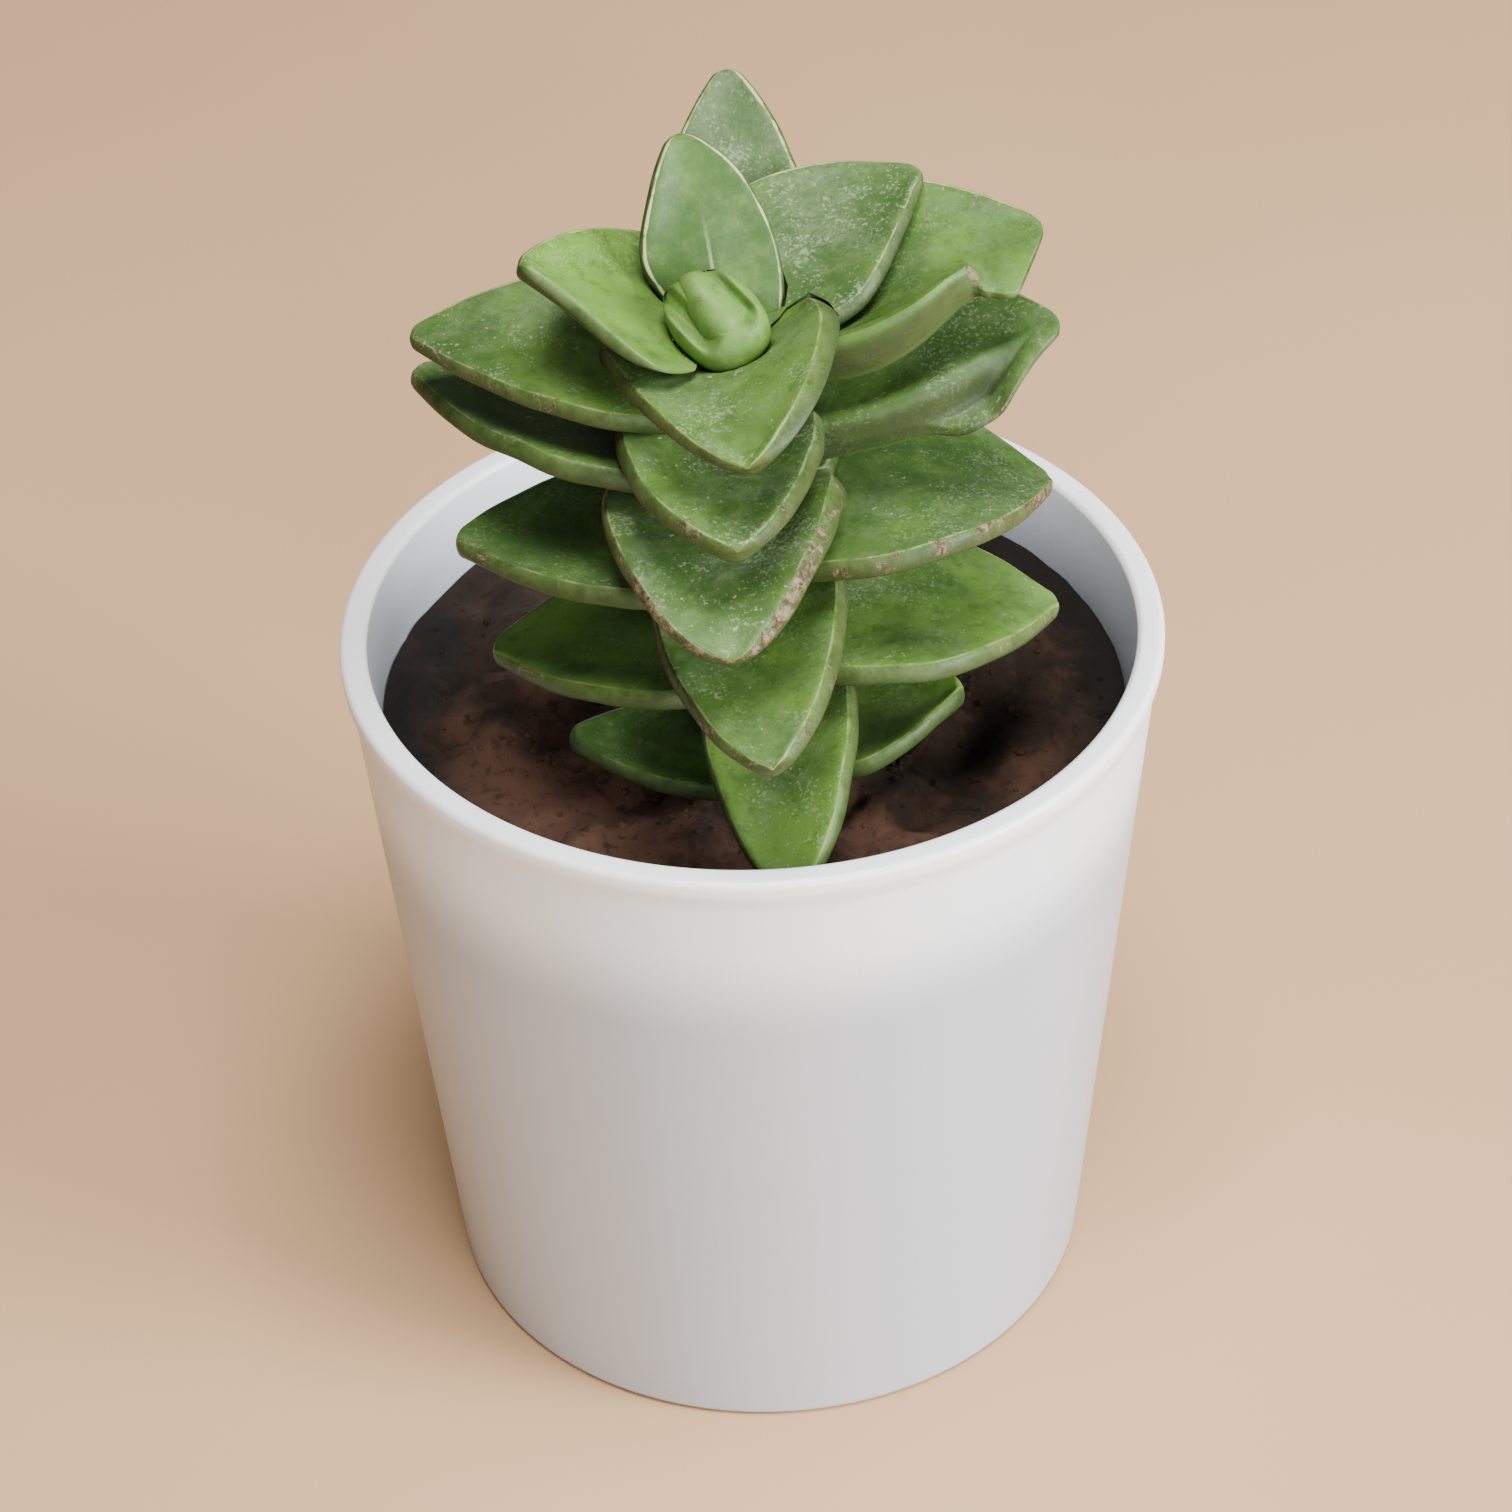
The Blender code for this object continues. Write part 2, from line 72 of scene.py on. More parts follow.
# ------------------------------------------------------------------------------------------------
# Pot: one slip-cast ceramic pot with a smooth satin glaze, tapered to the base. It has a thick
# rounded rim that stands a little proud of the wall, and a small bevel round its foot.
pot_height = 86 * mm
rim_radius = 45 * mm
base_radius = 36.8 * mm
pot_wall = 2.6 * mm
pot_floor = 4 * mm
lip_reach = 4.5 * mm
lip_depth = 0.4 * mm
edge_radius = 1.1 * mm
rim_edge = 0.75 * mm
lip_shoulder = 1.4 * mm
middle_hole = 1.0 * mm
pot_columns = 192
glaze_pale, glaze_cloudy = (0.88, 0.92, 0.97), (0.85, 0.89, 0.94)
# The inside colour is painted shade, and the rim colour a painted highlight on the rim's top.
glaze_painted_inner_shade, glaze_painted_rim_highlight = (0.36, 0.39, 0.44), (0.93, 0.94, 0.95)
glaze_dust = (0.50, 0.49, 0.47)


def wall_radius(height):
    """Outside radius of the tapered wall: a straight line from the base to under the lip."""
    return base_radius + (rim_radius - lip_depth - base_radius) * height / pot_height


def smooth_step(start, end, values):
    """Zero before start, one after end, and three squares less two cubes of the share between."""
    share = np.clip((values - start) / (end - start), 0.0, 1.0)
    return share * share * (3.0 - 2.0 * share)


def arc(radius, height, size, start, end, count=9):
    """(radius, height) points on a circle of that size, from one angle in degrees to the other."""
    angle = np.radians(np.linspace(start, end, count))
    return np.stack([radius + size * np.cos(angle), height + size * np.sin(angle)], -1)


def line(start, end, count):
    """(radius, height) points on a straight line, without its last point."""
    share = np.arange(count)[:, None] / count
    return np.array(start) * (1 - share) + np.array(end) * share


def carried_round(profile, steps):
    """A grid of points: each (radius, height) of the profile times the unit circle."""
    angle = np.arange(steps) * (2 * math.pi / steps)
    circle = np.stack([np.cos(angle), np.sin(angle)], -1)
    flat = profile[:, None, :1] * circle
    return np.concatenate([flat, np.broadcast_to(profile[:, None, 1:], flat.shape[:2] + (1,))], -1)


def closed_mesh(name, grid, maps=None):
    """An object from a grid of points.

    Neighbouring rows are joined by four-sided faces, each row closes into a ring, and the first
    and last rows close on a point at their middle. maps holds two numbers a point for each named
    UV map.
    """
    rows, columns = grid.shape[:2]
    poles = [grid[0].mean(0), grid[-1].mean(0)]
    points = np.concatenate([grid.reshape(-1, 3), poles])
    row, column = np.meshgrid(np.arange(rows - 1), np.arange(columns), indexing="ij")
    low, beside = row * columns + column, row * columns + (column + 1) % columns
    quads = np.stack([low, beside, beside + columns, low + columns], -1).reshape(-1, 4)
    first = np.arange(columns)
    after = (first + 1) % columns
    last = (rows - 1) * columns
    foot = np.stack([after, first, np.full(columns, rows * columns)], -1)
    head = np.stack([last + first, last + after, np.full(columns, rows * columns + 1)], -1)
    mesh = bpy.data.meshes.new(name)
    mesh.from_pydata(points.tolist(), [], quads.tolist() + foot.tolist() + head.tolist())
    corner = np.empty(len(mesh.loops), np.int32)
    mesh.loops.foreach_get("vertex_index", corner)
    for map_name, values in (maps or {}).items():
        ends = [values[0].mean(0), values[-1].mean(0)]
        flat = np.concatenate([values.reshape(-1, 2), ends])
        flat = flat[corner].astype(np.float32).ravel()
        mesh.uv_layers.new(name=map_name).uv.foreach_set("vector", flat)
    point_faces_outwards(mesh)
    mesh.shade_smooth()
    made = bpy.data.objects.new(name, mesh)
    collection.objects.link(made)
    return made


def point_faces_outwards(mesh):
    """Turns every face of the closed shell to point out of it."""
    shell = bmesh.new()
    shell.from_mesh(mesh)
    bmesh.ops.recalc_face_normals(shell, faces=shell.faces)
    shell.to_mesh(mesh)
    shell.free()


def finished(piece, node, material):
    """The piece gets its material, takes a CAD node's place and stands still with the pot."""
    piece.data.materials.clear()
    piece.data.materials.append(material)
    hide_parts(node)
    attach(piece, "root")


def new_material(name):
    made = bpy.data.materials.new(name)
    made.use_nodes = True
    return made, made.node_tree, made.node_tree.nodes["Principled BSDF"]


def add_node(tree, kind, inputs=(), **settings):
    """A shader node. inputs pairs a socket's name or number with a value or another's output."""
    made = tree.nodes.new("ShaderNode" + kind)
    for setting, value in settings.items():
        setattr(made, setting, value)
    for socket, value in dict(inputs).items():
        if isinstance(value, bpy.types.NodeSocket):
            tree.links.new(value, made.inputs[socket])
        else:
            made.inputs[socket].default_value = value
    return made


def math_of(tree, operation, a, b=0.0, c=0.0):
    return add_node(tree, "Math", {0: a, 1: b, 2: c}, operation=operation).outputs[0]


def times(tree, a, b):
    return math_of(tree, "MULTIPLY", a, b)


def plus(tree, a, b):
    return math_of(tree, "ADD", a, b)


def stepped(tree, value, start, end, low=0.0, high=1.0):
    """Runs softly from low to high as the value goes from start to end."""
    inputs = {0: value, 1: start, 2: end, 3: low, 4: high}
    return add_node(tree, "MapRange", inputs, interpolation_type="SMOOTHSTEP").outputs[0]


def mixed(tree, factor, a, b):
    """Colour a turned into b by the factor."""
    a = (*a, 1.0) if isinstance(a, tuple) else a
    b = (*b, 1.0) if isinstance(b, tuple) else b
    mix = add_node(tree, "Mix", {0: factor, 6: a, 7: b}, data_type="RGBA")
    return mix.outputs[2]


def noise(tree, place, scale, detail=3.0, roughness=0.5, distortion=0.0):
    inputs = {
        "Vector": place,
        "Scale": scale,
        "Detail": detail,
        "Roughness": roughness,
        "Distortion": distortion,
    }
    return add_node(tree, "TexNoise", inputs).outputs["Fac"]


def object_place(tree):
    return add_node(tree, "TexCoord").outputs["Object"]


def parts_of(tree, vector):
    return add_node(tree, "SeparateXYZ", {0: vector}).outputs


def distance_from_axis(tree, place):
    """Length of the level part of a place: how far it is from the pot's axis."""
    flat = add_node(tree, "VectorMath", {0: place, 1: (1.0, 1.0, 0.0)}, operation="MULTIPLY")
    return add_node(tree, "VectorMath", {0: flat.outputs[0]}, operation="LENGTH").outputs["Value"]


def add_bump(tree, shader, height, strength, distance):
    inputs = {"Height": height, "Strength": strength, "Distance": distance}
    tree.links.new(add_node(tree, "Bump", inputs).outputs["Normal"], shader.inputs["Normal"])


def glazed_ceramic():
    """A pale satin glaze: a faint cloudy tone, sparse specks of dust and a very soft ripple."""
    made, tree, shader = new_material("pot_satin_glaze")
    place = object_place(tree)
    cloud = noise(tree, place, 22.0, 4.0, 0.6)
    colour = mixed(tree, stepped(tree, cloud, 0.35, 0.65), glaze_pale, glaze_cloudy)
    height = parts_of(tree, place)["Z"]
    radius = distance_from_axis(tree, place)
    # Painted shade: inside the pot the glaze darkens with depth below the rim.
    within = stepped(tree, radius, rim_radius - 1.2 * mm, rim_radius - 2.6 * mm)
    sunk = stepped(tree, height, pot_height - 1 * mm, pot_height - 13 * mm, 0.0, 0.8)
    colour = mixed(tree, times(tree, within, sunk), colour, glaze_painted_inner_shade)
    # Painted highlight: the top of the rim is paler.
    rim_highlight = stepped(tree, height, pot_height - 2.2 * mm, pot_height - 1.2 * mm)
    colour = mixed(tree, rim_highlight, colour, glaze_painted_rim_highlight)
    grain = noise(tree, place, 2600.0, 2.0)
    colour = mixed(tree, stepped(tree, grain, 0.68, 0.78, 0.0, 0.22), colour, glaze_dust)
    tree.links.new(colour, shader.inputs["Base Color"])
    sheen = stepped(tree, noise(tree, place, 60.0), 0.3, 0.7, 0.27, 0.34)
    tree.links.new(sheen, shader.inputs["Roughness"])
    shader.inputs["Specular IOR Level"].default_value = 0.45
    wave = noise(tree, place, 150.0, 2.0)
    add_bump(tree, shader, wave, 0.10, 0.3 * mm)
    return made


inside_top = rim_radius - pot_wall - lip_depth
inside_floor = wall_radius(pot_floor) - pot_wall
under_lip = wall_radius(pot_height - lip_reach)
soft_step = smooth_step(0.0, 1.0, np.linspace(0.0, 1.0, 9))
lip_fall = np.stack([
    rim_radius + (under_lip - rim_radius) * soft_step,
    np.linspace(pot_height - lip_shoulder, pot_height - lip_reach, 9),
], -1)
pot_profile = np.concatenate([
    line((middle_hole, pot_floor), (inside_floor - edge_radius, pot_floor), 8),
    arc(inside_floor - edge_radius, pot_floor + edge_radius, edge_radius, -90, 0),
    line((inside_floor, pot_floor + edge_radius), (inside_top, pot_height - rim_edge), 24)[1:],
    arc(inside_top + rim_edge, pot_height - rim_edge, rim_edge, 180, 90),
    arc(rim_radius - rim_edge, pot_height - rim_edge, rim_edge, 90, 0),
    lip_fall,
    line((under_lip, pot_height - lip_reach), (base_radius, edge_radius), 40)[1:],
    arc(base_radius - edge_radius, edge_radius, edge_radius, 0, -90),
    line((base_radius - 2 * edge_radius, 0.0), (middle_hole, 0.0), 8),
])
pot = closed_mesh("pot_glazed", carried_round(pot_profile, pot_columns))
finished(pot, "pot", glazed_ceramic())


# ------------------------------------------------------------------------------------------------
# Soil: dark potting soil with a fine reddish loam in it, loosely pressed. It fills the pot to a
# good centimetre under the rim, in clods and crumbs, and it lies close round the stem.
soil_depth_below_rim = 10.5 * mm
soil_height = pot_height - soil_depth_below_rim
soil_edge_radius = wall_radius(soil_height) - pot_wall - 0.1 * mm
soil_bottom = pot_floor + 1.4 * mm
stem_foot = np.array([3.2 * mm, -15.5 * mm])
loam_place = (-24 * mm, -22 * mm, 75 * mm)
soil_lump = 1.1 * mm
soil_rings, soil_spokes = 190, 380
crumb_count, crumb_seed = 380, 21
crumb_least, crumb_spread = 0.25 * mm, 0.6 * mm
soil_grey_near_left, soil_brown_middle = (0.020, 0.020, 0.021), (0.030, 0.019, 0.012)
loam_colour, soil_in_shade = (0.112, 0.056, 0.035), (0.006, 0.005, 0.004)
grit_pale, grit_dark = (0.14, 0.09, 0.06), (0.014, 0.009, 0.006)


def clods(x, y, size, seed):
    """Height of rounded clods, from 0 to 1.

    The ground is divided into square cells, and each holds one clod at a random place with a
    random height. A clod is a dome: its height times the root of one less the squared distance
    over its size. The highest dome counts.
    """
    random = np.random.default_rng(seed)
    table = random.uniform(0.0, 1.0, (64, 64, 3))
    column, row = np.floor(x / size).astype(int), np.floor(y / size).astype(int)
    highest = np.zeros_like(x)
    for aside in (-1, 0, 1):
        for ahead in (-1, 0, 1):
            cell = table[(column + aside) % 64, (row + ahead) % 64]
            middle_x = (column + aside + 0.15 + 0.7 * cell[..., 0]) * size
            middle_y = (row + ahead + 0.15 + 0.7 * cell[..., 1]) * size
            reach = size * (0.75 + 0.45 * cell[..., 2])
            away = ((x - middle_x) ** 2 + (y - middle_y) ** 2) / reach**2
            dome = (0.35 + 0.65 * cell[..., 2]) * np.sqrt(np.clip(1.0 - away, 0.0, 1.0))
            highest = np.maximum(highest, dome)
    return highest


def soil_top(x, y):
    """Height of the soil: long low waves, with coarse, middling and fine clods on them."""
    random = np.random.default_rng(4)
    waves = random.normal(0.0, 330.0, (9, 2))
    phases = random.uniform(0.0, 2 * math.pi, 9)
    lumps = np.cos(x[..., None] * waves[:, 0] + y[..., None] * waves[:, 1] + phases).sum(-1) / 3.0
    bent_x = x + 0.7 * mm * np.sin(y / (2.3 * mm)) + 0.3 * mm * np.sin(x / (0.9 * mm))
    bent_y = y + 0.7 * mm * np.cos(x / (1.9 * mm)) + 0.3 * mm * np.cos(y / (0.8 * mm))
    coarse = clods(bent_x, bent_y, 9.0 * mm, 11)
    middling = clods(bent_x + 3 * mm, bent_y, 4.0 * mm, 12)
    fine = clods(bent_x, bent_y + 1 * mm, 1.7 * mm, 13)
    finest = clods(bent_x, bent_y, 0.8 * mm, 14)
    relief = 2.0 * coarse + 1.5 * middling + 0.35 * fine + 0.12 * finest - 2.7
    away_from_wall = 1.0 - smooth_step(0.8, 1.0, np.hypot(x, y) / soil_edge_radius)
    height = soil_height + soil_lump * lumps * (0.15 + 0.85 * away_from_wall)
    near_stem = 1.0 - smooth_step(3.0 * mm, 6.0 * mm, np.hypot(x - stem_foot[0], y - stem_foot[1]))
    return height + relief * mm * (1.0 - 0.7 * near_stem) * (0.35 + 0.65 * away_from_wall)


def potting_soil():
    """Dark soil: brown humus, patches of redder loam, pale grit, and a grainy broken surface."""
    made, tree, shader = new_material("soil_dark_loam")
    place = object_place(tree)
    patch = noise(tree, place, 60.0, 4.0, 0.6)
    across = parts_of(tree, place)
    front = stepped(tree, across["Y"], 0.0, -36 * mm, -0.06, -0.04)
    from_loam = add_node(tree, "VectorMath", {0: place, 1: loam_place}, operation="DISTANCE")
    loam = stepped(tree, from_loam.outputs["Value"], 21 * mm, 9 * mm, 0.0, 0.26)
    patch = plus(tree, plus(tree, patch, front), loam)
    patch = stepped(tree, patch, 0.38, 0.56)
    # The soil turns greyer and darker towards the left wall.
    soil_base_tone = mixed(tree, stepped(tree, across["X"], -40 * mm, -30 * mm), soil_grey_near_left, soil_brown_middle)
    colour = mixed(tree, patch, soil_base_tone, loam_colour)
    grains = noise(tree, place, 700.0, 4.0, 0.65)
    colour = mixed(tree, stepped(tree, grains, 0.55, 0.80, 0.0, 0.35), colour, grit_pale)
    colour = mixed(tree, stepped(tree, grains, 0.48, 0.32, 0.0, 0.6), colour, grit_dark)
    radius = distance_from_axis(tree, place)
    shaded = stepped(tree, radius, 0.70 * soil_edge_radius, 0.97 * soil_edge_radius, 0.0, 0.88)
    colour = mixed(tree, shaded, colour, soil_in_shade)
    tree.links.new(colour, shader.inputs["Base Color"])
    shader.inputs["Roughness"].default_value = 0.92
    shader.inputs["Specular IOR Level"].default_value = 0.2
    rough = noise(tree, place, 1500.0, 6.0, 0.75)
    add_bump(tree, shader, rough, 0.8, 0.35 * mm)
    return made


def soil_body():
    """The top is a disc of rings with the clods' heights, and side and bottom follow the pot."""
    ring = np.sqrt(np.linspace(0.0004, 1.0, soil_rings))[:, None]
    angle = (np.arange(soil_spokes) * (2 * math.pi / soil_spokes))[None, :]
    x = soil_edge_radius * ring * np.cos(angle)
    y = soil_edge_radius * ring * np.sin(angle)
    top = np.stack([x, y, soil_top(x, y)], -1)
    low_radius = wall_radius(soil_bottom) - pot_wall - 0.6 * mm
    shares = np.linspace(low_radius / soil_edge_radius, 0.02, 6)[:, None]
    under_x, under_y = shares * x[-1], shares * y[-1]
    under = np.stack([under_x, under_y, np.full(under_x.shape, soil_bottom)], -1)
    return closed_mesh("soil_filling", np.concatenate([top, under]))


def scattered_crumbs(count, seed):
    """Loose crumbs as one mesh.

    Each is a ball of 42 points, stretched by a random size along each axis, turned about the
    upright and roughened by a random share of its radius at each point. It sits with its middle
    a third of its size under the soil's surface.
    """
    ball_shell = bmesh.new()
    bmesh.ops.create_icosphere(ball_shell, subdivisions=2, radius=1.0)
    ball = np.array([vertex.co[:] for vertex in ball_shell.verts])
    faces = np.array([[vertex.index for vertex in face.verts] for face in ball_shell.faces])
    ball_shell.free()
    random = np.random.default_rng(seed)
    size = crumb_least + crumb_spread * random.beta(1.3, 4.5, count)
    stretch = random.uniform(0.7, 1.35, (count, 1, 3)) * size[:, None, None]
    rough = random.uniform(0.78, 1.18, (count, len(ball), 1))
    shapes = ball[None] * rough * stretch
    spin = random.uniform(0.0, 2 * math.pi, count)[:, None]
    turned_x = shapes[..., 0] * np.cos(spin) - shapes[..., 1] * np.sin(spin)
    turned_y = shapes[..., 0] * np.sin(spin) + shapes[..., 1] * np.cos(spin)
    away = (soil_edge_radius - 1.5 * mm) * np.sqrt(random.uniform(0.0, 1.0, count))
    heading = random.uniform(0.0, 2 * math.pi, count)
    x, y = away * np.cos(heading), away * np.sin(heading)
    z = soil_top(x, y) - 0.35 * size
    placed = (turned_x + x[:, None], turned_y + y[:, None], shapes[..., 2] + z[:, None])
    points = np.stack(placed, -1)
    all_faces = faces[None] + (np.arange(count) * len(ball))[:, None, None]
    mesh = bpy.data.meshes.new("soil_crumbs")
    mesh.from_pydata(points.reshape(-1, 3).tolist(), [], all_faces.reshape(-1, 3).tolist())
    mesh.shade_smooth()
    made = bpy.data.objects.new("soil_crumbs", mesh)
    collection.objects.link(made)
    return made


soil_finish = potting_soil()
soil = soil_body()
finished(soil, "soil", soil_finish)
crumbs = scattered_crumbs(crumb_count, crumb_seed)
crumbs.data.materials.append(soil_finish)
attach(crumbs, "root")


# ------------------------------------------------------------------------------------------------
# Stem: one upright fleshy stem, green above and corky below, ringed where old leaves dropped. It
# stands in the soil in front of the pot's middle, and curves a little to the left as it rises.
stem_sway = -5.6 * mm
sway_from, sway_to = 78 * mm, 122 * mm
stem_root_depth = 16 * mm
stem_radius_below, stem_radius_above = 3.2 * mm, 1.6 * mm
top_pair_height = 136.5 * mm
top_joint = 2.2 * mm
joint_growth = 0.56 * mm
stem_end = top_pair_height - 3.2 * mm
stem_waist = 0.25 * mm
stem_rows, stem_columns = 160, 32
stem_green, stem_cork = (0.12, 0.19, 0.05), (0.16, 0.12, 0.075)


def stem_place(height):
    """The stem's middle: the foot, moved along X by the sway times a smooth step of the height."""
    sway = stem_sway * smooth_step(sway_from, sway_to, np.asarray(height, float))
    return np.stack([stem_foot[0] + sway, stem_foot[1] + 0 * sway, np.asarray(height, float)], -1)


def stem_radius(height):
    """A straight taper from the soil to the top pair."""
    share = np.clip((height - soil_height) / (top_pair_height - soil_height), 0.0, 1.0)
    return stem_radius_below + (stem_radius_above - stem_radius_below) * share


def pair_height(pair):
    """Height of a pair, counted from the top: joints lengthen by the same amount each time."""
    above = pair - 1
    return top_pair_height - top_joint * above - joint_growth * above * (above - 1) / 2


def stem_body():
    """Circles carried up the stem's middle line, with a shallow waist between the leaf scars."""
    height = np.linspace(soil_height - stem_root_depth, stem_end, stem_rows)
    joints = np.array([pair_height(pair) for pair in range(1, 13)])
    nearest = np.abs(height[:, None] - joints).min(1)
    waist = stem_waist * smooth_step(0.0, 2.0 * mm, nearest)
    angle = np.arange(stem_columns) * (2 * math.pi / stem_columns)
    flutes = 1 + 0.02 * np.sin(5 * angle + 400 * height[:, None])
    radius = (stem_radius(height) - waist)[:, None] * flutes
    middle = stem_place(height)[:, None, :]
    around = np.stack([np.cos(angle), np.sin(angle), 0 * angle], -1)
    return closed_mesh("stem_fleshy", middle + radius[..., None] * around)


def stem_skin():
    """Green skin that turns to grey-brown cork in long cracks towards the soil."""
    made, tree, shader = new_material("stem_cork_and_skin")
    place = object_place(tree)
    upright = add_node(tree, "Mapping", {"Vector": place, "Scale": (1.0, 1.0, 0.25)}).outputs[0]
    cracks = noise(tree, upright, 900.0, 4.0, 0.65)
    height = parts_of(tree, place)["Z"]
    old = stepped(tree, height, 118 * mm, 92 * mm)
    corky = times(tree, old, stepped(tree, cracks, 0.35, 0.6))
    colour = mixed(tree, corky, stem_green, stem_cork)
    tree.links.new(colour, shader.inputs["Base Color"])
    shader.inputs["Roughness"].default_value = 0.7
    add_bump(tree, shader, cracks, 0.5, 0.2 * mm)
    return made


finished(stem_body(), "stem", stem_skin())


# ------------------------------------------------------------------------------------------------
# Leaves: thick fleshy leaves in opposite pairs, each pair a quarter turn from the next. A leaf has
# a shallow trough above, a full belly below and a blunt edge wall, with a thin pale margin where
# wall and upper face meet. Each presses on its neighbours in the crowded top.
#
# One line a leaf, in degrees and millimetres: heading, rise, curl, sweep, roll, length and width.
leaf_forms = {
    "leaf_01_back": (95.5, 50, 0, 22, 2, 18.2, 13.4),
    "leaf_02_right": (50, 19, -1, -29, 8, 27.5, 20.5),
    "leaf_02_left": (180, 24, 10, 18, -5, 22, 21),
    "leaf_03_front": (281.5, 32, -49, -12, 14, 26, 23.3),
    "leaf_03_back": (81.5, 15, 27, 11, -4, 33.4, 16.8),
    "leaf_04_left": (168, 17, -24, 2, -9, 32.5, 21),
    "leaf_04_right": (17, 31, -25, -2, 12, 36.6, 29),
    "leaf_05_front": (266, 8, -10, 14, -2, 25.2, 21),
    "leaf_05_back": (93, 20, -10, 0, 0, 29, 21),
    "leaf_06_left": (166, 9, -6, -11, 6, 34, 24.5),
    "leaf_06_right": (13, 26, -21, -3, 12, 37.0, 30),
    "leaf_07_front": (264, 24, -54, 12, 3, 28.6, 24.5),
    "leaf_07_back": (88, 10, -8, 0, 0, 30, 23),
    "leaf_08_left": (185, 2, 2, -5, 0, 29, 24),
    "leaf_08_right": (13, 24, -54, 8, 2, 36.5, 30),
    "leaf_09_front": (270, 6, -18, 7, 5, 29.6, 20),
    "leaf_09_back": (90, 10, -12, 0, 0, 30, 23),
    "leaf_10_left": (183, 4, -17, -12, -6, 29, 22),
    "leaf_10_right": (14, 8, -28, 0, 0, 33.5, 27.5),
    "leaf_11_front": (272, 0, -38, 0, 12, 26.5, 16.6),
    "leaf_11_back": (94, 4, -16, 0, 0, 27, 20),
    "leaf_12_left": (187, 3, 8, -11, -5, 23, 15),
    "leaf_12_right": (8, 19, -4, -6, 0, 20, 18),
}

# Outlines by side: share of the full width at the stem, share of the length where the leaf is
# widest, and the two powers of its edge.
leaf_outlines = {
    "front": (0.92, 0.20, 1.75, 0.66),
    "top": (0.76, 0.30, 1.9, 0.85),
    "back": (0.80, 0.36, 1.8, 0.88),
    "left": (0.66, 0.36, 1.75, 0.95),
    "right": (0.55, 0.42, 1.8, 1.0),
    "ridged": (0.30, 0.45, 1.75, 1.0),
}

# Bevels: how far the upper margin lies inside the outermost edge, in millimetres, on the side
# that is right and then on the side that is left as one looks from the tip to the stem.
leaf_bevels = {
    "leaf_01_back": (0.1, 0.3),
    "leaf_02_right": (0.1, 0.8),
    "leaf_02_left": (0.8, 0.1),
    "leaf_03_front": (1.5, 0.7),
    "leaf_03_back": (0.1, 0.1),
    "leaf_04_left": (0.6, 0.1),
    "leaf_05_front": (0.9, 0.6),
    "leaf_06_left": (0.7, 0.1),
    "leaf_07_front": (1.3, 0.4),
    "leaf_08_left": (0.8, 0.1),
    "leaf_08_right": (0.1, 0.8),
    "leaf_09_front": (0.9, 0.4),
    "leaf_10_left": (0.8, 0.1),
    "leaf_10_right": (0.1, 0.8),
    "leaf_11_front": (0.6, 0.4),
}

# Two right-hand leaves have a ridge in front of the midrib, with a steep fleshy band below it:
# how far the ridge lies from the midrib where it is farthest, the share of the length there, the
# rise to it, the band's height at the stem and at its end, and where the ridge begins and ends.
# Sizes in millimetres. The ridge runs out over a share of the length, the flap grows between two
# shares, and the ridge's rounding is a share of the walk across. A corky scar has its share too.
leaf_ridges = {
    "leaf_04_right": (7.7, 0.48, 3.2, 3.3, 2.1, 0.06, 0.76),
    "leaf_06_right": (4.5, 0.50, 0.7, 2.9, 3.8, 0.06, 0.84),
}
ridge_run_out = {"leaf_04_right": 0.022, "leaf_06_right": 0.12}
flap_grows = {"leaf_04_right": (0.72, 0.86), "leaf_06_right": (0.50, 0.72)}
ridge_rounding = {"leaf_04_right": 0.08, "leaf_06_right": 0.14}
band_slope = math.radians(80)
walk_steps = 80
corky_places = {"leaf_04_right": 0.755}
# Each flap's outline: full width in millimetres, and the two powers of its edge.
flap_outlines = {"leaf_04_right": (29, 2.2, 1.0), "leaf_06_right": (15.2, 1.8, 0.6)}

# Leaves that press on each other: each is cut back to clear those after it.
pressed_by = {
    "leaf_02_left": ("leaf_01_back", "leaf_01_front", "leaf_02_right"),
    "leaf_02_right": ("leaf_01_back", "leaf_01_front", "leaf_03_front"),
    "leaf_03_back": ("leaf_02_left", "leaf_02_right", "leaf_03_front"),
    "leaf_03_front": ("leaf_01_back", "leaf_01_front", "leaf_02_left"),
    "leaf_04_left": ("leaf_03_back", "leaf_03_front", "leaf_04_right"),
    "leaf_04_right": ("leaf_03_back", "leaf_02_right", "leaf_03_front"),
    "leaf_05_back": ("leaf_04_left", "leaf_04_right", "leaf_06_left", "leaf_06_right"),
    "leaf_05_front": ("leaf_04_left", "leaf_04_right"),
    "leaf_06_left": ("leaf_05_front",),
    "leaf_06_right": ("leaf_05_front", "leaf_06_left"),
    "leaf_07_front": ("leaf_06_left", "leaf_06_right"),
    "leaf_07_back": ("leaf_06_left", "leaf_06_right", "leaf_08_right"),
}

leaf_middle_thickness = 4.0 * mm
leaf_edge_thickness = 2.4 * mm
tip_radius = 0.7 * mm
cupping = 0.12
deep_cupping = {"leaf_03_front": 0.18}
pressed_gap = 0.34 * mm
keel_slope, keel_radius = 0.30, 0.4 * mm
front_curl = 3.0 * mm
left_shoulder = 1.4 * mm
left_stem_share = 0.48
bulge = 0.18
edge_waviness, face_unevenness = 0.16 * mm, 0.13 * mm
margin_rounding = 0.2 * mm
bare_edge_margin = 0.8 * mm


def leaf_half_width(share, width, outline):
    """Half width along a leaf.

    Up to the widest place it rises as a quarter of a sine, and after it one less a power of the
    share left falls to the tip's radius.
    """
    base, widest, power, roundness = outline
    rise = base + (1.0 - base) * np.sin(0.5 * math.pi * np.clip(share / widest, 0.0, 1.0))
    left = np.clip((share - widest) / (1.0 - widest), 0.0, 1.0)
    fall = (1.0 - left**power) ** roundness
    return tip_radius + (width / 2 - tip_radius) * np.where(share > widest, fall, rise)


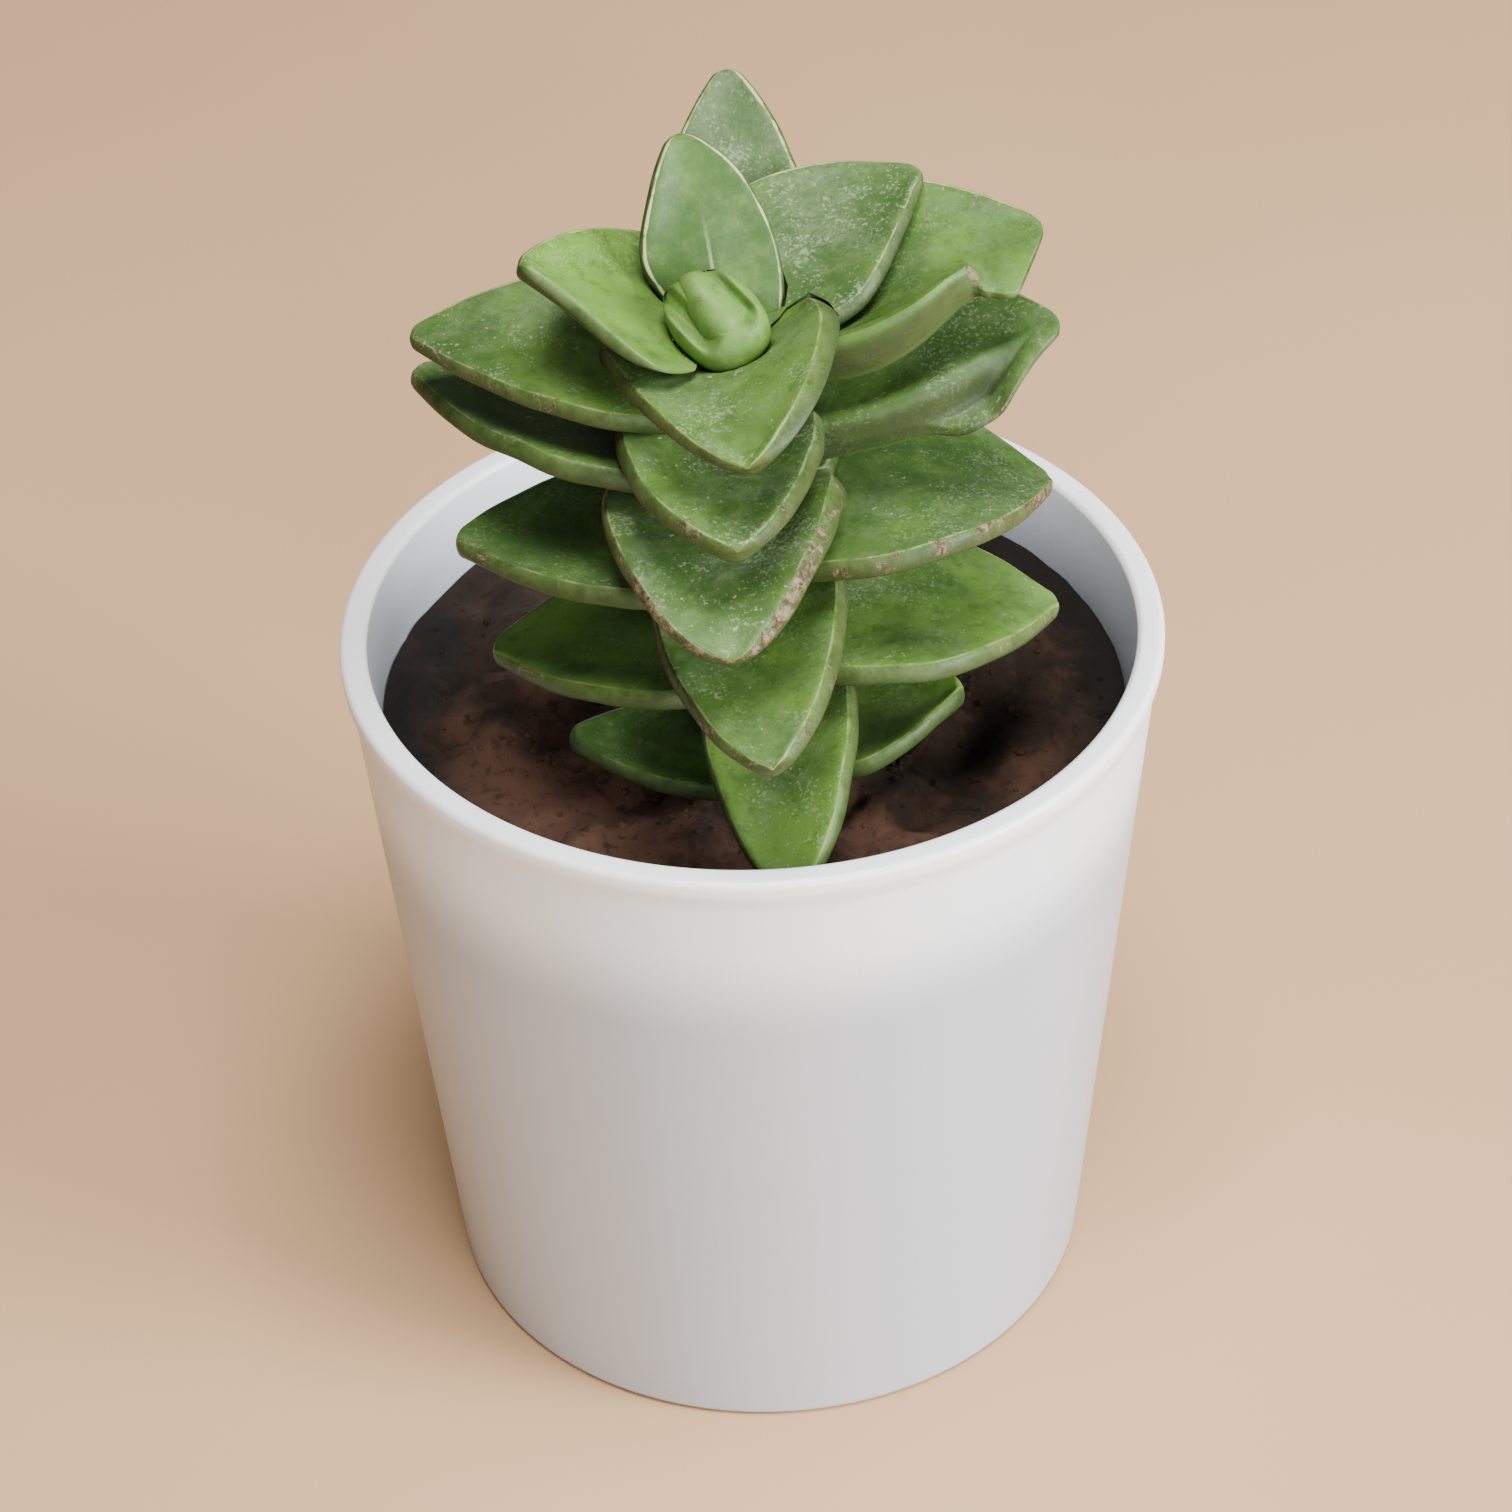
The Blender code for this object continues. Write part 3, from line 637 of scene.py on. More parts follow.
def leaf_frame(base, angles, length, share):
    """The midrib, and the side and up directions along it.

    The forward direction turns evenly from the heading and rise at the stem, and the midrib is
    its sum. Side is level and square to it, up is square to both, and roll turns these two.
    """
    heading, rise, curl, sweep, roll = np.radians(angles)
    fine = np.linspace(0.0, 1.0, 101)

    def forward(at):
        """The unit vector at a heading and a lift that both turn evenly along the leaf."""
        flat, lift = heading + sweep * at, rise + curl * at
        level = np.cos(lift)
        return np.stack([level * np.cos(flat), level * np.sin(flat), np.sin(lift)], -1)

    steps = (forward(fine[1:]) + forward(fine[:-1])) / 2 * (length / 100)
    path = base + np.concatenate([np.zeros((1, 3)), np.cumsum(steps, axis=0)])
    middle = np.stack([np.interp(share, fine, path[:, axis]) for axis in range(3)], -1)
    flat = heading + sweep * share
    side = np.stack([-np.sin(flat), np.cos(flat), 0.0 * flat], -1)
    up = np.cross(forward(share), side)
    return (
        middle,
        side * math.cos(roll) + up * math.sin(roll),
        up * math.cos(roll) - side * math.sin(roll),
    )


def ridged_edge(name, share, across, half):
    """How far sideways and up the front half of a ridged leaf leads, and how its skin looks.

    The walk goes from the midrib to the edge in even steps, each as long as the pace and turned
    by the slope, and its place is the sum of the steps so far. Its first half climbs to the
    ridge, the next part drops down the band at 80 degrees, and the last quarter leads out over
    the flap. Where the ridge has run out, the walk is level. It returns the way aside, the rise,
    the rise at the edge, the shade, and the distance inside the margin.
    """
    farthest, middle, climb, band_begin, band_end, begin, end = leaf_ridges[name]
    run_out = ridge_run_out[name]
    begun = smooth_step(begin, begin + 0.14, share)[..., None]
    amount = begun[..., 0] * (1.0 - smooth_step(end - run_out, end + run_out, share))
    amount = amount * (1.0 - 0.25 * smooth_step(end - 0.10, end, share))
    to_ridge = farthest * mm * (1.0 - ((share - middle) / 0.45) ** 2)
    to_ridge = np.clip(to_ridge, 0.1 * half, 0.9 * half)
    band = (band_begin + (band_end - band_begin) * smooth_step(0.35, 0.68, share)) * mm
    flap_share = smooth_step(*flap_grows[name], share)
    flap = np.clip(half - to_ridge, 0.0, None) * flap_share
    steps = np.linspace(0.0, 1.0, walk_steps + 1)
    rounding = ridge_rounding[name]
    past_ridge = smooth_step(0.5 - rounding, 0.5 + rounding, steps)
    past_band = smooth_step(0.70, 0.80, steps)
    on_band = past_ridge * (1.0 - past_band)
    amount, to_ridge, band = amount[..., None], to_ridge[..., None], band[..., None]
    flap, flap_share, half = flap[..., None], flap_share[..., None], half[..., None]
    steepest = 2.2 * climb * mm / to_ridge
    steep = past_ridge * (1.0 - past_band * flap_share)
    slope = amount * (steepest * (2.0 * steps) * (1.0 - past_ridge) - band_slope * steep)
    pace = 2.2 * to_ridge * (1.0 - past_ridge) + 4.0 * flap * past_band
    pace = pace + 4.4 * (band * amount + 0.1 * mm * (1.0 - amount)) * on_band
    pace = (begun * pace + (1.0 - begun) * half) / walk_steps
    at = np.clip(-across, 0.0, 1.0) * walk_steps
    low = np.minimum(at.astype(int), walk_steps - 1)

    def picked(values):
        """The walk's values at each point, taken between the two nearest steps."""
        before = np.take_along_axis(values, low[..., None], -1)[..., 0]
        after = np.take_along_axis(values, low[..., None] + 1, -1)[..., 0]
        return before + (after - before) * (at - low)

    def walked(values):
        """The running sum of the means of neighbouring values."""
        halfway = (values[..., 1:] + values[..., :-1]) / 2
        start = np.zeros_like(values[..., :1])
        return np.concatenate([start, np.cumsum(halfway, axis=-1)], axis=-1)

    aside, rise = walked(np.cos(slope) * pace), walked(np.sin(slope) * pace)
    corky = (np.abs(share - corky_places.get(name, -1.0)) < 0.025) & (np.abs(across + 0.62) < 0.14)
    band_inset = np.where(corky, -0.9 * mm, bare_edge_margin)
    flap_inset = np.minimum(flap[..., 0] * 4.0 * (1.0 + across), 3 * mm)
    beside = np.where((across < -0.76) & (flap[..., 0] > 0.5 * mm), flap_inset, band_inset)
    plain = half[..., 0] * (1.0 + across)
    shade = np.sqrt(amount[..., 0]) * smooth_step(-0.44, -0.64, across) * (across > -0.78)
    shade = np.where(across <= -0.78, amount[..., 0] * (1.0 - flap_share[..., 0]), shade)
    inset = np.where(amount[..., 0] > 0.3, beside, plain)
    return picked(aside), picked(rise), rise[..., -1], 0.9 * shade, inset


def start_distance(name):
    """Distance along the midrib at which the leaf begins, just outside the stem."""
    if name == "leaf_01_back":
        return 1.2 * mm
    pair = int(name.split("_")[1])
    return stem_radius(pair_height(pair) - leaf_middle_thickness) + 0.6 * mm


def base_lobe(name):
    """How far the two sides of a front or back leaf reach back round the stem."""
    if name == "leaf_01_back":
        return 2.4 * mm
    if name.endswith(("left", "right")):
        return 0.0
    return start_distance(name) - 0.6 * mm


def section_round(face_points, wall_points):
    """Once round a leaf's section: across from -1 to 1 on top, the wall, back below, the wall.

    level is 1 on the upper face and -1 on the lower, and runs as a cosine down each wall.
    """
    swing = np.sin(np.linspace(-math.pi / 2, math.pi / 2, face_points))
    fall = np.cos(np.linspace(0.0, math.pi, wall_points + 2))[1:-1]
    across = np.concatenate([swing, np.ones(wall_points), -swing, -np.ones(wall_points)])
    ones = np.ones(face_points)
    level = np.concatenate([ones, fall, -ones, -fall])
    return across, level


def ripples(seed, along, across):
    """Small unevenness, mostly from -1 to 1: six sine waves of 6 to 16 mm in random ways."""
    random = np.random.default_rng(seed)
    total = 0.0
    for _ in range(6):
        way, phase = random.uniform(0.0, 2 * math.pi, 2)
        wavelength = random.uniform(6.0, 16.0) * mm
        distance = along * math.cos(way) + across * math.sin(way)
        total = total + np.sin(distance * 2 * math.pi / wavelength + phase)
    return total / 3.5


def leaf_shape(name, rows, face_points, wall_points, swell=0.0, uneven=1.0):
    """Points of a leaf's skin as a grid of rings, with three UV maps.

    A ring's point is the midrib plus side times the half width times across, plus up times the
    trough's height less the thickness above it. The walls bulge by a sine, the upper margin is
    rounded off, and both ends shrink to a point along a quarter circle. The maps hold millimetres
    along and across, millimetres inside the margin with the share of the length, and how much
    painted shade the skin takes and how much painted backlight brightens its margin.
    """
    pair, facing = int(name.split("_")[1]), name.split("_")[2]
    *angles, length, width = leaf_forms[name]
    length, width = length * mm, width * mm
    seed = 40 + list(leaf_forms).index(name)
    first = start_distance(name) / length
    share = first + (1.0 - first) * (0.5 - 0.5 * np.cos(np.linspace(0.0, math.pi, rows))) ** 0.85
    share[0] -= swell / length
    share[-1] += swell / length
    across, level = section_round(face_points, wall_points)
    share, across = np.broadcast_arrays(share[:, None], across)
    level = np.broadcast_to(level, share.shape)
    middle, side, up = leaf_frame(stem_place(pair_height(pair)), angles, length, share)
    outline = leaf_outlines["top" if pair == 1 else "ridged" if name in leaf_ridges else facing]
    if name == "leaf_02_left":
        outline = (left_stem_share, *outline[1:])
    half = leaf_half_width(share, width, outline)
    wavy = uneven * edge_waviness * ripples(seed + 100, share * length, np.sign(across) * half)
    half = half + wavy * np.abs(across) ** 2 * np.sin(math.pi * np.clip(share, 0.0, 1.0))
    if name in leaf_ridges:
        flap_width, *flap_powers = flap_outlines[name]
        flap_half = leaf_half_width(share, flap_width * mm, (*outline[:2], *flap_powers))
        half = np.where(across < 0.0, flap_half, half)
    if name == "leaf_02_left":
        shoulder = left_shoulder * np.sin(math.pi * np.clip(share / 0.8, 0.0, 1.0))
        half = half + np.where(across > 0.0, shoulder, 0.0)
    if name == "leaf_01_back":
        half = half * np.where(across > 0.0, 1.0 - 0.25 * smooth_step(0.38, 0.0, share), 1.09)
    bevel_plus, bevel_minus = leaf_bevels.get(name, (0.3, 0.3))
    bevel = np.where(across > 0.0, bevel_plus, bevel_minus) * mm
    if name == "leaf_02_left":
        bevel = bevel * smooth_step(0.30, 0.70, share)
    bevel = np.minimum(bevel, 0.3 * half) * (1.0 + level) / 2
    sideways = (half - bevel) * across
    rise = deep_cupping.get(name, cupping) * half * across**2
    if name == "leaf_03_front":
        curled = np.clip(-across, 0.0, 1.0) ** 2 * smooth_step(0.5, 0.1, share)
        rise = rise + front_curl * curled
    if name == "leaf_01_back":
        from_keel = np.sqrt(sideways**2 + keel_radius**2) - keel_radius
        rise = rise - keel_slope * from_keel * (1.0 - share)
    inside = half * (1.0 - np.abs(across))
    sunk = 0.0
    if name in leaf_ridges:
        walk = ridged_edge(name, share, across, half - bevel)
        aside, climb, edge_climb, band_shade, front_inside = walk
        in_front = across < 0.0
        sideways = np.where(in_front, -aside, sideways)
        rise = np.where(in_front, climb, rise)
        inside = np.where(in_front, front_inside, inside)
        sunk = np.where(in_front, climb - edge_climb * smooth_step(0.0, 1.0, -across), 0.0)
    rise = rise + uneven * face_unevenness * ripples(seed, share * length, sideways)
    grown = min(1.0, 0.62 + 0.1 * (pair - 1))
    thin = grown * leaf_edge_thickness
    belly = grown * (leaf_middle_thickness - leaf_edge_thickness)
    thickness = thin + belly * (1.0 - across**2) ** 0.8
    thickness = thickness * (1.0 - 0.35 * share**2)
    if name in leaf_ridges:
        grown_flap = smooth_step(*flap_grows[name], share)
        thinner = (0.25 + 0.40 * grown_flap) * smooth_step(0.0, 1.0, -across)
        thickness = thickness * (1.0 - thinner) + sunk
    if name == "leaf_02_left":
        thickness = thickness * (1.0 - 0.80 * smooth_step(0.62, 0.25, share))
    rounding = uneven * margin_rounding * np.abs(across) ** 12
    depth = rounding + (thickness - rounding) * (1.0 - level) / 2
    drop = depth - swell * level
    at_wall = np.abs(across) > 0.999
    bulged = swell + bulge * thin * np.sqrt(1.0 - level**2)
    outwards = np.sign(across) * np.where(at_wall, bulged, 0.0)
    if name in leaf_ridges:
        outwards = np.where(across < 0.0, np.maximum(0.2 * outwards, -swell), outwards)
    lobe = base_lobe(name) * across**4 * (1.0 - share) ** 2
    if name == "leaf_01_back":
        lobe = lobe * (1.0 - 0.7 * across)
    if name == "leaf_03_front":
        lobe = lobe * (1.0 - 1.1 * np.minimum(across, 0.0))
    skin = middle + side * (sideways + outwards)[..., None] + up * (rise - drop)[..., None]
    skin = skin - np.cross(side, up) * lobe[..., None]
    to_tip = (1.0 - share[:, :1]) * length + swell
    to_end = np.minimum(to_tip, (share[:, :1] - first) * length + swell)
    to_end = np.clip(to_end / (tip_radius + swell), 0.0, 1.0)
    shrink = np.sqrt(1.0 - (1.0 - to_end) ** 2) * 0.97 + 0.03
    heart = skin.mean(1, keepdims=True)
    skin = heart + (skin - heart) * shrink[..., None]
    wall_depth = thin * 1.2
    beyond = -wall_depth * (1.0 - level) / 2
    margin = np.where(level > 0.999, np.minimum(inside, (1.0 - share) * length + 0.2 * mm), beyond)
    if name in leaf_ridges:
        bare = (level <= 0.999) & (across < 0.0) & (share < flap_grows[name][1])
        margin = np.where(bare, bare_edge_margin, margin)
    margin = np.where(level < -0.999, -wall_depth - inside, margin)
    grain = np.stack([share * length, sideways], -1) / mm
    rim = np.stack([margin / mm, share], -1)
    # Painted shade: down each edge wall, over the whole lower face, and down a ridged leaf's band.
    shade = (1.0 - level) / 2
    if name in leaf_ridges:
        shade = np.where(across < 0.0, np.maximum(shade, band_shade), shade)
    # Painted backlight: the margin line is paler on the back edges and on back leaves.
    away = {"left": -across, "right": across}.get(facing, 0.0 * across)
    back_leaf = facing == "back" or pair == 1
    margin_backlight = np.clip(0.5 + np.clip(2.0 * away, -0.5, 0.5) + 0.5 * back_leaf, 0.0, 1.0)
    return skin, {"grain": grain, "rim": rim, "tone": np.stack([shade, margin_backlight], -1)}


def cut_back(piece, cutter):
    """Takes the cutter's shape out of the piece, and the cutter away."""
    cut = piece.modifiers.new("cut", "BOOLEAN")
    cut.operation = "DIFFERENCE"
    cut.solver = "EXACT"
    cut.use_self = True
    cut.object = cutter
    graph = bpy.context.evaluated_depsgraph_get()
    mesh = bpy.data.meshes.new_from_object(piece.evaluated_get(graph), depsgraph=graph)
    piece.modifiers.clear()
    piece.data = mesh
    bpy.data.objects.remove(cutter, do_unlink=True)


def keep_largest_piece(mesh):
    """Each point takes the lowest number among the points joined to it, until nothing changes."""
    edges = np.empty(2 * len(mesh.edges), np.int32)
    mesh.edges.foreach_get("vertices", edges)
    a, b = edges.reshape(-1, 2).T
    label = np.arange(len(mesh.vertices))
    changed = True
    while changed:
        lower = label.copy()
        np.minimum.at(lower, a, label[b])
        np.minimum.at(lower, b, label[a])
        lower = lower[lower]
        changed = bool((lower != label).any())
        label = lower
    largest = np.bincount(label).argmax()
    shell = bmesh.new()
    shell.from_mesh(mesh)
    loose = [vertex for vertex in shell.verts if label[vertex.index] != largest]
    bmesh.ops.delete(shell, geom=loose, context="VERTS")
    shell.to_mesh(mesh)
    shell.free()


leaf_deep, leaf_lime = (0.040, 0.092, 0.016), (0.110, 0.225, 0.026)
mottle_pale, mottle_dark = (0.125, 0.195, 0.060), (0.030, 0.070, 0.012)
wax_film, wax_fleck = (0.225, 0.285, 0.165), (0.46, 0.52, 0.37)
# The olive wall colours are darker than the face partly as painted shade; the wall shade colour is painted
# shade on walls, band and lower face.
wall_olive_and_shade, wall_olive_pale_and_shade = (0.038, 0.060, 0.014), (0.085, 0.115, 0.036)
wall_shade, leaf_underside = (0.022, 0.032, 0.012), (0.040, 0.075, 0.016)
# The margin cream is the margin's own colour; its glow towards the back is painted backlight.
margin_cream, vein_pale = (0.42, 0.45, 0.22), (0.36, 0.42, 0.20)
cork_dark, cork_crust = (0.045, 0.030, 0.014), (0.22, 0.18, 0.10)


def leaf_skin_material(name, lime, bloom, cork, margin_cream_and_glow, flecked=1.0):
    """A leaf's skin.

    Deep green with lime patches, finely mottled. A grainy wax bloom lies on the upper face in
    clouds, with white flecks in clusters. The margin is a thin cream line, brighter towards the
    back as painted backlight, and the edge wall below it is olive, darker partly as painted shade
    and darker still towards its lower edge as painted shade, with brown cork where it has been
    rubbed.
    """
    made, tree, shader = new_material(name + "_skin")
    place = object_place(tree)
    rim, tone, grain = (
        parts_of(tree, add_node(tree, "UVMap", uv_map=kind).outputs[0])
        for kind in ("rim", "tone", "grain")
    )
    inside, share = rim["X"], rim["Y"]
    patch = noise(tree, place, 70.0, 4.0, 0.6, 0.5)
    young = stepped(tree, patch, 0.62 - 0.42 * lime, 1.0 - 0.42 * lime)
    colour = mixed(tree, young, leaf_deep, leaf_lime)
    mottle = noise(tree, place, 420.0, 5.0, 0.7)
    colour = mixed(tree, stepped(tree, mottle, 0.48, 0.68, 0.0, 0.34), colour, mottle_pale)
    colour = mixed(tree, stepped(tree, mottle, 0.50, 0.34, 0.0, 0.48), colour, mottle_dark)

    upper = stepped(tree, inside, -0.3, 0.4)
    cloud = noise(tree, place, 110.0, 5.0, 0.65, 0.7)
    grainy = stepped(tree, noise(tree, place, 1500.0, 4.0, 0.75), 0.38, 0.62, 0.35, 1.0)
    film = times(tree, stepped(tree, cloud, 0.40, 0.72, 0.12 * bloom, 0.75 * bloom), upper)
    film = times(tree, film, grainy)
    colour = mixed(tree, times(tree, film, 0.75), colour, wax_film)

    def flecks(fineness, least, shift, clustering):
        """White specks where a fine noise, raised in clusters, passes the least height."""
        inputs = {"Vector": place, "Location": (shift, shift, shift)}
        moved = add_node(tree, "Mapping", inputs).outputs[0]
        ragged = noise(tree, moved, fineness, 2.0, 0.55, 0.3)
        clusters = noise(tree, moved, 120.0, 4.0, 0.7)
        clusters = stepped(tree, clusters, 0.40, 0.68, -clustering, clustering)
        height = plus(tree, ragged, clusters)
        return stepped(tree, height, least - 0.04 * bloom, least + 0.10 - 0.04 * bloom)

    dust = times(tree, flecks(2500.0, 0.600, 0.0, 0.09), 0.32)
    small = times(tree, flecks(1500.0, 0.725, 0.1, 0.10), 0.7)
    large = times(tree, flecks(750.0, 0.790, 0.2, 0.06), grainy)
    all_flecks = math_of(tree, "MAXIMUM", math_of(tree, "MAXIMUM", dust, small), large)
    all_flecks = times(tree, all_flecks, flecked * min(1.0, 0.1 + 0.9 * bloom))
    colour = mixed(tree, all_flecks, colour, wax_fleck)

    wall = stepped(tree, inside, 0.05, -0.30)
    under = stepped(tree, inside, -1.6, -3.4)
    # Painted shade: the olive wall is darker than the face partly as shade, and the tone map's shade
    # darkens it further towards its lower edge.
    olive_and_shade = mixed(tree, stepped(tree, mottle, 0.35, 0.65), wall_olive_and_shade, wall_olive_pale_and_shade)
    colour = mixed(tree, times(tree, wall, 0.75), colour, olive_and_shade)
    colour = mixed(tree, times(tree, tone["X"], 0.86), colour, wall_shade)
    colour = mixed(tree, times(tree, under, 0.8), colour, leaf_underside)
    wavering = noise(tree, place, 330.0, 4.0, 0.6)
    # Painted backlight: the cream margin line widens and brightens towards the back.
    line_width = stepped(tree, wavering, 0.35, 0.65, -0.06, 0.09)
    line_width = plus(tree, line_width, math_of(tree, "MULTIPLY_ADD", tone["Y"], 0.10, -0.06))
    from_margin = math_of(tree, "MULTIPLY_ADD", tone["Y"], -0.14, plus(tree, inside, 0.06))
    from_margin = math_of(tree, "ABSOLUTE", from_margin)
    margin_line = stepped(tree, math_of(tree, "SUBTRACT", line_width, from_margin), -0.12, 0.03)
    margin_glow = math_of(tree, "MULTIPLY_ADD", tone["Y"], 0.55 * margin_cream_and_glow, 0.45 * margin_cream_and_glow)
    colour = mixed(tree, times(tree, margin_line, margin_glow), colour, margin_cream)
    from_midrib = math_of(tree, "ABSOLUTE", grain["Y"])
    vein = times(tree, stepped(tree, from_midrib, 0.28, 0.06), stepped(tree, grain["X"], 11.0, 4.0))
    vein = times(tree, vein, times(tree, stepped(tree, inside, 0.3, 1.0), grainy))
    strength = 0.6 if name == "leaf_01_back" else 0.12 * flecked
    colour = mixed(tree, times(tree, vein, strength), colour, vein_pale)

    rubbed = noise(tree, place, 190.0, 6.0, 0.78, 1.2)
    tipward = stepped(tree, share, 0.25, 0.80, -0.08, 0.03)
    in_wall = times(tree, stepped(tree, inside, 0.15, -0.20), stepped(tree, inside, -2.8, -1.4))
    if name in corky_places:
        away = math_of(tree, "ABSOLUTE", math_of(tree, "SUBTRACT", share, corky_places[name]))
        tipward = plus(tree, tipward, stepped(tree, away, 0.035, 0.015, 0.0, 0.25))
    rubbed = plus(tree, rubbed, tipward)
    rubbed = stepped(tree, rubbed, 0.70 - 0.24 * cork, 0.74 - 0.24 * cork)
    corky = times(tree, rubbed, in_wall)
    corky = times(tree, corky, min(1.0, 2.0 * cork))
    crust = stepped(tree, noise(tree, place, 900.0, 5.0, 0.75, 0.8), 0.40, 0.62)
    cork_tone = mixed(tree, crust, cork_dark, cork_crust)
    colour = mixed(tree, corky, colour, cork_tone)
    tree.links.new(colour, shader.inputs["Base Color"])

    satin = stepped(tree, plus(tree, film, corky), 0.0, 0.8, 0.44, 0.66)
    tree.links.new(satin, shader.inputs["Roughness"])
    shader.inputs["Specular IOR Level"].default_value = 0.22
    shader.inputs["Subsurface Weight"].default_value = 0.07
    shader.inputs["Subsurface Radius"].default_value = (0.5, 1.0, 0.25)
    shader.inputs["Subsurface Scale"].default_value = 1.2 * mm
    rough_cork = times(tree, corky, times(tree, crust, 2.5))
    relief = plus(tree, math_of(tree, "MULTIPLY_ADD", wavering, 1.5, mottle), rough_cork)
    add_bump(tree, shader, relief, 0.45, 0.15 * mm)
    return made


# How each leaf looks, from 0 to 1: how lime it is, how much wax bloom it carries, how corky its
# edge wall is and how bright its margin is, its own cream raised by painted backlight.
leaf_looks = {
    "leaf_01_back": (0.45, 0.02, 0.0, 0.9),
    "leaf_02_right": (0.50, 0.80, 0.05, 0.8),
    "leaf_02_left": (0.95, 0.40, 0.05, 0.6),
    "leaf_03_front": (0.72, 0.80, 0.0, 0.5),
    "leaf_03_back": (0.15, 0.75, 0.0, 0.9),
    "leaf_04_left": (0.60, 0.70, 0.60, 0.7),
    "leaf_04_right": (0.66, 0.30, 0.35, 0.9),
    "leaf_05_front": (0.60, 0.85, 0.45, 0.5),
    "leaf_05_back": (0.40, 0.50, 0.3, 0.6),
    "leaf_06_left": (0.55, 0.70, 0.45, 0.6),
    "leaf_06_right": (0.50, 0.55, 0.45, 0.8),
    "leaf_07_front": (0.50, 0.80, 0.95, 0.5),
    "leaf_07_back": (0.40, 0.50, 0.4, 0.6),
    "leaf_08_left": (0.40, 0.35, 0.50, 0.5),
    "leaf_08_right": (0.38, 0.50, 0.90, 0.7),
    "leaf_09_front": (0.60, 0.50, 0.55, 0.4),
    "leaf_09_back": (0.40, 0.40, 0.5, 0.5),
    "leaf_10_left": (0.75, 0.40, 0.35, 0.4),
    "leaf_10_right": (0.75, 0.50, 0.45, 0.5),
    "leaf_11_front": (0.95, 0.70, 0.10, 0.4),
    "leaf_11_back": (0.45, 0.30, 0.3, 0.4),
    "leaf_12_left": (0.40, 0.25, 0.20, 0.4),
    "leaf_12_right": (0.75, 0.45, 0.20, 0.4),
}

leaf_rows, leaf_face_points, leaf_wall_points = 64, 23, 7
ridged_rows, ridged_face_points = 110, 61
cutter_rows, cutter_face_points, cutter_wall_points = 14, 7, 1


# ------------------------------------------------------------------------------------------------
# Young front leaf and bud: the youngest front leaf is a blunt cup, pressed round the closed bud.
# The bud shows as a ridge between two grooves, and both are paler than the leaves round them.
cup_offset = np.array([-0.2, -4.2, 2.0]) * mm
cup_half_sizes = np.array([6.0, 4.45, 3.9]) * mm
bud_half_sizes = np.array([6.0, 2.6, 3.95]) * mm
cup_bluntness, bud_bluntness = 2.5, 2.1
bud_heading, bud_rise, bud_roll = math.radians(322), math.radians(-32), math.radians(41.6)
bud_along = np.array([
    math.cos(bud_rise) * math.cos(bud_heading),
    math.cos(bud_rise) * math.sin(bud_heading),
    math.sin(bud_rise),
])
level_side = np.array([-math.sin(bud_heading), math.cos(bud_heading), 0.0])
level_up = np.cross(bud_along, level_side)
bud_side = level_side * math.cos(bud_roll) + level_up * math.sin(bud_roll)
bud_axes = np.array([bud_along, bud_side, np.cross(bud_along, bud_side)])
bud_middle = stem_place(top_pair_height) + cup_offset
stem_end_cut, cut_rounding = -5.1 * mm, 0.8 * mm
groove_depth = 1.9 * mm
cup_rows, cup_columns = 100, 160
bud_rows, bud_columns = 64, 80
bud_gap = 0.3 * mm
sharp_angle = math.radians(50)


def blunt_egg(half_sizes, bluntness, swell, rows, columns):
    """A ball's points over a norm of each, which makes the ball blunt, times the half sizes.

    The end at the stem is narrower by a fifth. It is flattened along a slanting line by a soft
    maximum: half the sum of two lengths and the root of their squared difference and a rounding.
    """
    polar = np.linspace(0.02, math.pi - 0.02, rows)[:, None]
    turn = (np.arange(columns) * (2 * math.pi / columns))[None, :]
    ball = np.stack([
        np.cos(polar) + 0 * turn,
        np.sin(polar) * np.cos(turn),
        np.sin(polar) * np.sin(turn),
    ], -1)
    blunt = ball / (np.abs(ball) ** bluntness).sum(-1, keepdims=True) ** (1 / bluntness)
    along, aside, above = np.moveaxis(blunt * (half_sizes + swell), -1, 0)
    aside = aside * (1.0 - 0.20 * smooth_step(0.0, -6 * mm, along))
    flat_end = stem_end_cut - swell + 0.35 * aside
    along = 0.5 * (along + flat_end + np.sqrt((along - flat_end) ** 2 + cut_rounding**2))
    return np.stack([along, aside, above], -1)


def egg_maps(local):
    """UV maps as the leaves have them: millimetres along and across, and far from any margin."""
    grain = local[..., :2] / mm
    rim = np.stack([np.full(local.shape[:2], 3.0), np.full(local.shape[:2], 0.5)], -1)
    tone = np.zeros((*local.shape[:2], 2))
    return {"grain": grain, "rim": rim, "tone": tone}


def cup_mesh(name, rows, columns, swell=0.0):
    """A blunt egg with two grooves and a shallow bed for the bud between them.

    Grooves and bed are smooth steps of the distance from the middle line. They run out towards
    the cup's front end, and the groove on the left in the photo sooner. A swollen cup, which only cuts its
    neighbours back, has none.
    """
    local = blunt_egg(cup_half_sizes, cup_bluntness, swell, rows, columns)
    local[..., 1] -= 0.2 * mm
    along, aside, above = local[..., 0], local[..., 1] - 0.1 * mm, local[..., 2]
    trough = smooth_step(3.7 * mm, 2.5 * mm, np.abs(aside))
    trough = trough * (0.3 + 0.7 * smooth_step(0.9 * mm, 2.0 * mm, np.abs(aside)))
    runs_to = 3.2 * mm + 1.0 * mm * smooth_step(-1.5 * mm, 1.5 * mm, aside)
    fade = 1.0 - smooth_step(-2.4 * mm, 0.0, along - runs_to)
    upper_side = smooth_step(0.0, 1.2 * mm, above)
    if swell == 0.0:
        local[..., 2] -= groove_depth * trough * fade * upper_side
    return closed_mesh(name, bud_middle + local @ bud_axes, egg_maps(local))


